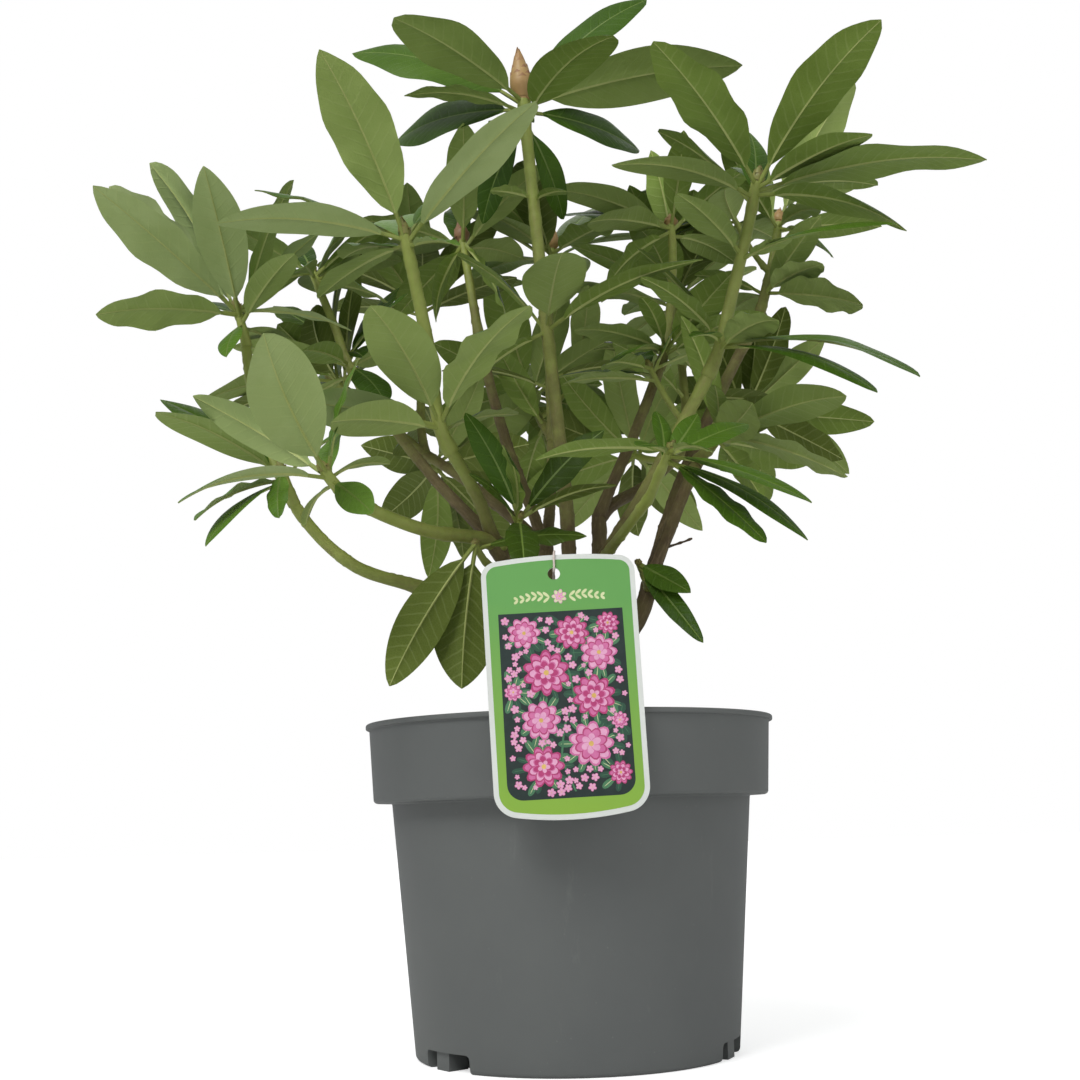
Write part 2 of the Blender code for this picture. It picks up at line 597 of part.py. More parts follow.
def tie_points(curves):
    """The loop's corners: through the hole, over the top edge, round the stem and back."""
    place = label_matrix()
    hole = label_hole()
    top = LABEL_LENGTH / 2
    stem, _ = curves[TIE_TURNS_ROUND].at(TIE_SHARE * curves[TIE_TURNS_ROUND].length)
    reach = TIE_LOOP_RADIUS
    front = LABEL_THICK + TIE_RADIUS + GAP
    lower = hole + Vector((0.0, LABEL_HOLE_RADIUS - TIE_RADIUS - GAP, 0.0))
    return [
        place @ (lower + Vector((0.0, -0.4, -TIE_RADIUS - GAP))),
        place @ (lower + Vector((0.0, -0.6, LABEL_THICK / 2))),
        place @ (lower + Vector((0.3, 0.6, front))),
        place @ Vector((hole.x + 0.6, top + 0.2, front)),
        place @ Vector((hole.x + 1.0, top + 2.2, 0.0)),
        *(stem + reach * Vector((math.cos(turn), math.sin(turn), 0.0)) for turn in map(math.radians, TIE_BEARINGS)),
        place @ Vector((hole.x + 3.0, top - 1.0, -5.0)),
    ]


def tie_mesh(curves, swell=0.0):
    """Points and faces of the tie, a closed ring of fine cord."""
    corners = tie_points(curves)
    count = len(corners)
    centres = []
    for index in range(count):
        a, b, c, d = (corners[(index + k) % count] for k in (-1, 0, 1, 2))
        for step in range(3):
            t = step / 3
            size = (c - b).length
            leave = (c - a).normalized() * size * 0.7
            arrive = (d - b).normalized() * size * 0.7
            centres.append(Curve.between(b, c, leave, arrive, t))
    sides, points, faces = 5, [], []
    total = len(centres)
    side = Vector((1.0, 0.0, 0.0))
    for index, centre in enumerate(centres):
        ahead = (centres[(index + 1) % total] - centres[index - 1]).normalized()
        side = across(ahead, side)
        other = ahead.cross(side)
        for corner in range(sides):
            turn = 2 * math.pi * corner / sides
            points.append(centre + (TIE_RADIUS + swell) * (math.cos(turn) * side + math.sin(turn) * other))
    for ring in range(total):
        after = (ring + 1) % total
        shift = nearest_shift(points, ring, after, sides) if after == 0 else 0
        for corner in range(sides):
            a, b = corner, (corner + 1) % sides
            c, d = (corner + 1 + shift) % sides, (corner + shift) % sides
            faces.append((ring * sides + a, ring * sides + b, after * sides + c, after * sides + d))
    return points, faces


def nearest_shift(points, ring, after, sides):
    """How far the last ring's corners are turned from the first's, so that the loop closes untwisted."""
    first = points[ring * sides]
    gaps = [(points[after * sides + k] - first).length for k in range(sides)]
    return gaps.index(min(gaps))


# Blender objects


def clear_scene():
    """Removes what the file held before."""
    for obj in list(bpy.data.objects):
        bpy.data.objects.remove(obj, do_unlink=True)


def plain_material(name, colour, roughness):
    """A plain surface for one kind of piece."""
    material = bpy.data.materials.new(name)
    material.use_nodes = True
    shader = material.node_tree.nodes["Principled BSDF"]
    shader.inputs["Base Color"].default_value = (*colour, 1.0)
    shader.inputs["Roughness"].default_value = roughness
    shader.inputs["Metallic"].default_value = 0.0
    return material


def new_object(name, mesh, material=None, collection=None):
    """An object from millimetre points and faces."""
    points, faces = mesh
    data = bpy.data.meshes.new(name)
    data.from_pydata([tuple(p * MM for p in point) for point in points], [], faces)
    data.validate()
    if material:
        data.materials.append(material)
    obj = bpy.data.objects.new(name, data)
    (collection or bpy.context.scene.collection).objects.link(obj)
    return obj


def keep_largest(mesh):
    """Drops any loose scrap beside the mesh's main body."""
    work = bmesh.new()
    work.from_mesh(mesh)
    left = set(work.verts)
    bodies = []
    while left:
        body, edge = set(), [left.pop()]
        while edge:
            vertex = edge.pop()
            body.add(vertex)
            for link in vertex.link_edges:
                other = link.other_vert(vertex)
                if other in left:
                    left.remove(other)
                    edge.append(other)
        bodies.append(body)
    bodies.sort(key=len)
    loose = [vertex for body in bodies[:-1] for vertex in body]
    bmesh.ops.delete(work, geom=loose, context="VERTS")
    work.to_mesh(mesh)
    work.free()


def apply_modifiers(obj):
    """Puts the evaluated mesh in place of the object's own."""
    bpy.context.view_layer.update()
    evaluated = obj.evaluated_get(bpy.context.evaluated_depsgraph_get())
    mesh = bpy.data.meshes.new_from_object(evaluated)
    obj.modifiers.clear()
    obj.data = mesh
    mesh.name = obj.name


def fused(name, meshes, material, solver="EXACT"):
    """One closed body from overlapping closed shapes, by one union on a collection."""
    obj = new_object(name, meshes[0], material)
    if len(meshes) > 1:
        group = bpy.data.collections.new(name + "_shapes")
        bpy.context.scene.collection.children.link(group)
        shapes = [new_object(f"{name}_shape_{i}", mesh, material, group) for i, mesh in enumerate(meshes[1:])]
        join = obj.modifiers.new("join", "BOOLEAN")
        join.operation = "UNION"
        join.operand_type = "COLLECTION"
        join.collection = group
        join.solver = solver
        apply_modifiers(obj)
        for shape in shapes:
            bpy.data.objects.remove(shape, do_unlink=True)
        bpy.data.collections.remove(group)
        keep_largest(obj.data)
    return obj


def shade(obj, angle):
    """Smooth shading, broken where faces meet more sharply than the angle."""
    obj.data.shade_smooth()
    obj.data.set_sharp_from_angle(angle=math.radians(angle))


def turned(name, profile, material, sides=POT_SIDES):
    """A body of revolution from (radius, height) corners that run up its outside and down its inside."""
    points, faces, rings = [], [], []
    for radius, height in profile:
        if radius == 0:
            rings.append([len(points)] * sides)
            points.append(Vector((0.0, 0.0, height)))
            continue
        rings.append(list(range(len(points), len(points) + sides)))
        for corner in range(sides):
            turn = 2 * math.pi * corner / sides
            points.append(Vector((radius * math.cos(turn), radius * math.sin(turn), height)))
    for low, high in zip(rings, rings[1:]):
        for corner in range(sides):
            after = (corner + 1) % sides
            face = [low[corner], low[after], high[after], high[corner]]
            faces.append(tuple(dict.fromkeys(face)))
    return new_object(name, (points, faces), material)


def sector(radii, heights, bearing, half_angle, steps=4):
    """A curved block: inner radius, outer radius at its foot and top, between two heights."""
    inner, outer_low, outer_high = radii
    points, faces = [], []
    for step in range(steps + 1):
        turn = math.radians(bearing - half_angle + 2 * half_angle * step / steps)
        spoke = Vector((math.cos(turn), math.sin(turn), 0.0))
        for radius, height in (
            (inner, heights[0]), (outer_low, heights[0]), (outer_high, heights[1]), (inner, heights[1])
        ):
            points.append(spoke * radius + Vector((0.0, 0.0, height)))
    for step in range(steps):
        for corner in range(4):
            a, b = step * 4 + corner, step * 4 + (corner + 1) % 4
            faces.append((a, b, b + 4, a + 4))
    last = steps * 4
    faces.append((3, 2, 1, 0))
    faces.append((last, last + 1, last + 2, last + 3))
    return points, faces


def pot_profiles():
    """The pot's closed outline, and the soil's just inside it."""
    wall = POT_WALL
    outside = [
        (0, 0), (BODY_FOOT_RADIUS - 3, 0), (BODY_FOOT_RADIUS, 3), (BODY_TOP_RADIUS, COLLAR_FOOT),
        (COLLAR_FOOT_RADIUS - 1, COLLAR_FOOT), (COLLAR_FOOT_RADIUS, COLLAR_FOOT + 1),
        (COLLAR_TOP_RADIUS, POT_HEIGHT - LIP_DEPTH), (LIP_RADIUS, POT_HEIGHT - LIP_DEPTH + 1),
        (LIP_RADIUS, POT_HEIGHT),
    ]
    inside = [
        (COLLAR_TOP_RADIUS - wall, POT_HEIGHT),
        (COLLAR_FOOT_RADIUS - wall, COLLAR_FOOT + wall),
        (BODY_TOP_RADIUS - wall, COLLAR_FOOT + wall),
        (BODY_FOOT_RADIUS - wall, FLOOR),
        (0, FLOOR),
    ]
    climb = (COLLAR_TOP_RADIUS - COLLAR_FOOT_RADIUS) / (POT_HEIGHT - COLLAR_FOOT)
    surface_radius = COLLAR_FOOT_RADIUS + climb * (SOIL_TOP - COLLAR_FOOT) - wall - GAP
    slope = (BODY_TOP_RADIUS - BODY_FOOT_RADIUS) / COLLAR_FOOT
    heel_radius = BODY_FOOT_RADIUS + slope * SOIL_HEEL - wall - GAP
    core_radius = DRAIN_BACK - DRAIN_WALL - 2 * GAP
    soil = [
        (0, FLOOR + GAP), (core_radius, FLOOR + GAP), (core_radius, SOIL_HEEL), (heel_radius, SOIL_HEEL),
        (BODY_TOP_RADIUS - wall - GAP, COLLAR_FOOT + wall + GAP),
        (COLLAR_FOOT_RADIUS - wall - GAP, COLLAR_FOOT + wall + GAP),
        (surface_radius, SOIL_TOP), (0, SOIL_TOP),
    ]
    return outside + inside, soil


def recess_shells():
    """The walls behind the pot's drain recesses."""
    slope = (BODY_TOP_RADIUS - BODY_FOOT_RADIUS) / COLLAR_FOOT
    low, high = FLOOR - 1, DRAIN_HEIGHT + 2
    middle = BODY_FOOT_RADIUS - POT_WALL / 2
    radii = (DRAIN_BACK - DRAIN_WALL, middle + slope * low - 0.4, middle + slope * high)
    return [sector(radii, (low, high), bearing, DRAIN_HALF_ANGLE + 2) for bearing in DRAIN_BEARINGS]


def subtract(obj, cutters):
    """Cuts the shapes from the object, one after another."""
    for number, mesh in enumerate(cutters):
        cutter = new_object(f"{obj.name}_cutter_{number}", mesh)
        cut = obj.modifiers.new("cut", "BOOLEAN")
        cut.operation = "DIFFERENCE"
        cut.solver = "EXACT"
        cut.object = cutter
        apply_modifiers(obj)
        bpy.data.objects.remove(cutter, do_unlink=True)


def build_pot(material):
    """The pot with its recessed drain openings."""
    pot_outline, _ = pot_profiles()
    pot = turned("pot", pot_outline, material)
    group = bpy.data.collections.new("pot_shapes")
    bpy.context.scene.collection.children.link(group)
    shells = [new_object(f"pot_shell_{i}", mesh, material, group) for i, mesh in enumerate(recess_shells())]
    join = pot.modifiers.new("join", "BOOLEAN")
    join.operation = "UNION"
    join.operand_type = "COLLECTION"
    join.collection = group
    join.solver = "EXACT"
    apply_modifiers(pot)
    for shell in shells:
        bpy.data.objects.remove(shell, do_unlink=True)
    bpy.data.collections.remove(group)
    radii = (DRAIN_BACK, BODY_FOOT_RADIUS + 20, BODY_FOOT_RADIUS + 20)
    cutters = [sector(radii, (-5, DRAIN_HEIGHT), bearing, DRAIN_HALF_ANGLE) for bearing in DRAIN_BEARINGS]
    subtract(pot, cutters)
    shade(pot, 35)


def build_soil(material):
    """The potting soil, which fills the pot to below its lip."""
    _, soil_outline = pot_profiles()
    shade(turned("potting_soil", soil_outline, material), 40)


def build_label(material):
    """The label's plate with its hole."""
    label = new_object("label", label_prism(LABEL_THICK), material)
    place = label_matrix()
    sides = 12
    hole = label_hole()
    points = []
    for height in (-3.0, 4.0):
        for corner in range(sides):
            turn = 2 * math.pi * corner / sides
            rim = Vector((math.cos(turn), math.sin(turn), 0.0)) * LABEL_HOLE_RADIUS
            points.append(place @ (hole + rim + Vector((0.0, 0.0, height))))
    faces = [tuple(reversed(range(sides))), tuple(range(sides, 2 * sides))]
    for a in range(sides):
        b = (a + 1) % sides
        faces.append((a, b, b + sides, a + sides))
    subtract(label, [(points, faces)])


def build_limbs(pieces, stubs, bark):
    """The trunk and boughs, each with the stubs of the limbs that it carries."""
    for limb in LIMBS:
        is_trunk = limb.parent is None
        sides = TRUNK_SIDES if is_trunk else LIMB_SIDES
        spacing = 8.0 if is_trunk else 20.0
        foot = root_flare if is_trunk else None
        meshes = [tube_mesh(pieces[limb.name], sides, spacing, 0.0, foot)]
        meshes += [tube_mesh(stub, LIMB_SIDES, 12.0) for stub in stubs[limb.name]]
        shade(fused(limb.name, meshes, bark), 50)


def build_masses(pieces, twigs, leaves, foliage):
    """The masses of foliage, each one stem with its twigs and leaves fused on."""
    for mass in MASSES:
        meshes = [tube_mesh(pieces[mass.name], STEM_SIDES, 24.0)]
        meshes += [tube_mesh(piece, STEM_SIDES, 24.0) for name, piece in twigs if name == mass.name]
        meshes += [leaf_mesh(leaf) for leaf in leaves if leaf.mass == mass.name]
        shade(fused(mass.name, meshes, foliage), 40)


def main():
    clear_scene()
    pot_plastic = plain_material("pot_plastic", (0.115, 0.12, 0.118), 0.5)
    potting_mix = plain_material("potting_mix", (0.035, 0.022, 0.014), 0.95)
    bark = plain_material("bark", (0.16, 0.10, 0.06), 0.8)
    foliage = plain_material("foliage", (0.12, 0.2, 0.06), 0.5)
    label_plastic = plain_material("label_plastic", (0.15, 0.38, 0.1), 0.4)
    tie_cord = plain_material("tie_cord", (0.75, 0.73, 0.68), 0.6)
    curves, pieces, stubs, twigs, leaves = grow_plant()
    build_pot(pot_plastic)
    build_soil(potting_mix)
    build_label(label_plastic)
    shade(new_object("label_tie", tie_mesh(curves), tie_cord), 50)
    build_limbs(pieces, stubs, bark)
    build_masses(pieces, twigs, leaves, foliage)


if __name__ == "__main__":
    main()
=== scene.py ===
"""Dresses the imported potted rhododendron: bark, leafy shoots, buds, pot, soil and label.

The tables and the growing rule are in millimetres and degrees, as the part's own are.
A bearing turns from +X towards +Y, and a rise is measured up from level.  Each new
mesh is turned into metres once, as it is built.
"""

import json
import math
import random
from collections import namedtuple

import bmesh
import bpy
from mathutils import Matrix, Vector, noise
from mathutils.bvhtree import BVHTree

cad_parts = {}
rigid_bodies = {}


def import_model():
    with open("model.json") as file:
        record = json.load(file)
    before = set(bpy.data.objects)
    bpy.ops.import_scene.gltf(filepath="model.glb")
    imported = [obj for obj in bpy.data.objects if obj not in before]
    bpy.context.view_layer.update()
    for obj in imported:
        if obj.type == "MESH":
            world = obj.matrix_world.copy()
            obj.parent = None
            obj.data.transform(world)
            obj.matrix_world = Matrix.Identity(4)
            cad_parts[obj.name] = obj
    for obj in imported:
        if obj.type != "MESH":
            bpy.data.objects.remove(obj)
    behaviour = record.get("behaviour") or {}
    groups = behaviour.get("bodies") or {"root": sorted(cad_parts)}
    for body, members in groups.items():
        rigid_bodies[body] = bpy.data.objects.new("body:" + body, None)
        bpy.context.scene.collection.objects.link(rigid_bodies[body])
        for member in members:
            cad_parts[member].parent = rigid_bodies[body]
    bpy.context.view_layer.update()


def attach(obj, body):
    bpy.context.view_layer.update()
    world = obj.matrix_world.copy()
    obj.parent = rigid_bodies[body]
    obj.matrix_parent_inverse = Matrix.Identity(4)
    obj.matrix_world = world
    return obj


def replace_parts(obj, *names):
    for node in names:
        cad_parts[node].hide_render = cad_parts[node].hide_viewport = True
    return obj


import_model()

BODY = "root"

MM = 0.001
GAP = 0.3  # clear space between neighbouring pieces

# Nursery pot, a 5 litre container
POT_HEIGHT = 181.0
POT_WALL = 2.0
LIP_RADIUS = 115.0
LIP_DEPTH = 3.5
COLLAR_TOP_RADIUS = 113.0
COLLAR_FOOT_RADIUS = 110.7
COLLAR_FOOT = 137.3
BODY_TOP_RADIUS = 100.5
BODY_FOOT_RADIUS = 88.6
FLOOR = 3.0
DRAIN_BEARINGS = (219.0, 339.0, 99.0)
DRAIN_HALF_ANGLE = 12.0
DRAIN_HEIGHT = 9.5
DRAIN_BACK = 76.5
DRAIN_WALL = 2.5
SOIL_TOP = 162.7

# Label, a thin plastic tag that leans on the pot's lip
LABEL_TOP_WIDTH = 78.5
LABEL_FOOT_WIDTH = 76.5
LABEL_LENGTH = 135.0
LABEL_THICK = 1.0
LABEL_TOP_END = (8.5, 3.0)  # the corners' radius, and how far the edge between them bows
LABEL_FOOT_END = (12.5, 4.5)
LABEL_LEAN = 8.0  # its top leans towards the plant
LABEL_TURN = 2.0
LABEL_MIDDLE = (-3.0, 12.1)  # across, and up the slope from the lip
LABEL_HOLE_RADIUS = 3.2
LABEL_HOLE_ACROSS = -2.0
LABEL_HOLE_DROP = 10.0  # from the label's top edge
TIE_RADIUS = 0.6
TIE_LOOP_RADIUS = 14.0  # round the trunk
TIE_TURNS_ROUND = "trunk"
TIE_SHARE = 0.4  # of the trunk's length
TIE_BEARINGS = (195, 145, 90, 35, -15)
TIE_EASE = 0.7  # how softly it turns its corners
TIE_SIDES = 5

# Trunk foot
FOOT_FLARE = 5.5
FLARE_HEIGHT = 9.0
ROOT_RIDGES = 4
STEM_SIDES = 5
STEM_SPACING = 20.0
TWIG_BUD = (7, 2.2)
BUD_SECTIONS = ((0.12, 0.8), (0.38, 1.0), (0.72, 0.62), (1.0, 0.16))  # along and out

# Leaves
LEAF_THICK = 0.016  # of the leaf's length, at its midrib
LEAF_WIDTH = (0.28, 0.35)  # of the leaf's length
LEAF_ARCH = (0.03, 0.08)
PETIOLE = 1.0  # half its width
PETIOLE_DEPTH = 1.6
ROOT_DEPTH = 0.45  # where a leaf springs from, as a share of its stem's radius
BLADE_START = 0.16  # of the leaf's length
LEAD_ROLL = 0.25  # how far a leading leaf's upper face turns to the back
CLEARANCE = 0.8  # kept between a leaf and anything it doesn't grow from
CROWN_REACH = 300  # from the crown's middle line, which stands behind the trunk's
CROWN_BACK = 20
CROWN_FOOT = 4  # above the pot's rim
GOLDEN_ANGLE = math.radians(137.5)
SEED = 20

# The growing rule
TRY_STEP = 4.0  # degrees between the rings of angles that a leaf tries
LEAD_TRIES = 4  # such rings
FILL_TRIES = 3
LEAF_DROP = 1.3  # down the stem, from one leaf of a whorl to the next
LEAVES_DOWN = 9  # leaves, before the next starts at the top again
FIRST_SPREAD = (52, 66)  # degrees from the stem
LAST_SPREAD = 30  # degrees more for the last leaf
LEAF_SIZES = (0.8, 1.08)  # of the whorl's length
LEAVES_APART = math.radians(24)
LEAF_CHANCES = 3  # for each leaf of a whorl
TWIG_FOOT = 0.55  # of the stem's length
TWIG_TAPER = (0.7, 0.6)  # of the radius at the stem's tip
TWIG_LENGTH = (38, 52)
TWIG_RISE = 25
TWIG_CHANCES = 12

# Each limb leaves its parent at a share of the parent's length and runs by way of
# one point to its tip.  Radii are at its foot and tip.
Limb = namedtuple("Limb", "name parent at via tip radii")
LIMBS = (
    Limb("trunk", None, 0, (3, 3, 184), (0, 0, 206), (11.5, 9.5)),
    Limb("bough_left", "trunk", 1, (-17, -12, 243), (-39, -30, 280), (6.2, 5.2)),
    Limb("bough_centre", "trunk", 1, (3, -4, 262), (1, -10, 320), (4.7, 4.0)),
    Limb("bough_right", "trunk", 1, (34, 2, 228), (50, 2, 262), (5.8, 4.8)),
    Limb("bough_back", "trunk", 1, (-8, 22, 242), (-10, 40, 285), (5.8, 4.8)),
    Limb("bough_back_right", "trunk", 0.9, (17, 16, 250), (22, 24, 303), (5.0, 4.2)),
    Limb("bough_left_low", "trunk", 0.7, (-42, -4, 234), (-80, -12, 257), (4.6, 3.9)),
    Limb("bough_left_reach", "bough_left_low", 1, (-120, -24, 271), (-151, -35, 304), (3.8, 3.2)),
    Limb("bough_far_left", "bough_left_reach", 1, (-172, -24, 350), (-182, -18, 402), (3.0, 2.7)),
    Limb("bough_front_left", "bough_left", 1, (-47, -43, 302), (-61, -54, 327), (3.7, 3.4)),
    Limb("bough_front_low", "bough_left", 1, (-76, -60, 283), (-109, -90, 293), (4.0, 3.4)),
    Limb("bough_mid_left", "bough_left", 1, (-76, -2, 326), (-122, 16, 392), (3.6, 2.8)),
    Limb("bough_right_front", "bough_centre", 0.3, (46, -20, 308), (84, -36, 372), (3.9, 3.6)),
    Limb("bough_low_front", "bough_right_front", 0.2, (33, -47, 282), (44, -72, 293), (3.0, 2.7)),
    Limb("bough_right_mid", "bough_right", 1, (66, 6, 300), (80, 16, 332), (3.9, 3.4)),
    Limb("bough_right_back", "bough_right", 1, (78, 42, 338), (126, 73, 432), (4.1, 3.5)),
    Limb("bough_mid_back", "bough_back_right", 1, (44, 25, 352), (62, 28, 396), (3.5, 3.0)),
    Limb("bough_inner_left", "bough_back", 1, (-34, 40, 360), (-48, 38, 422), (3.5, 3.0)),
    Limb("bough_rear_left", "bough_back", 1, (-48, 76, 330), (-88, 112, 366), (3.9, 3.2)),
    Limb("bough_rear_centre", "bough_back", 1, (-6, 88, 330), (-4, 124, 376), (3.7, 3.1)),
    Limb("bough_rear_right", "bough_back_right", 1, (54, 68, 332), (84, 106, 364), (3.9, 3.2)),
)

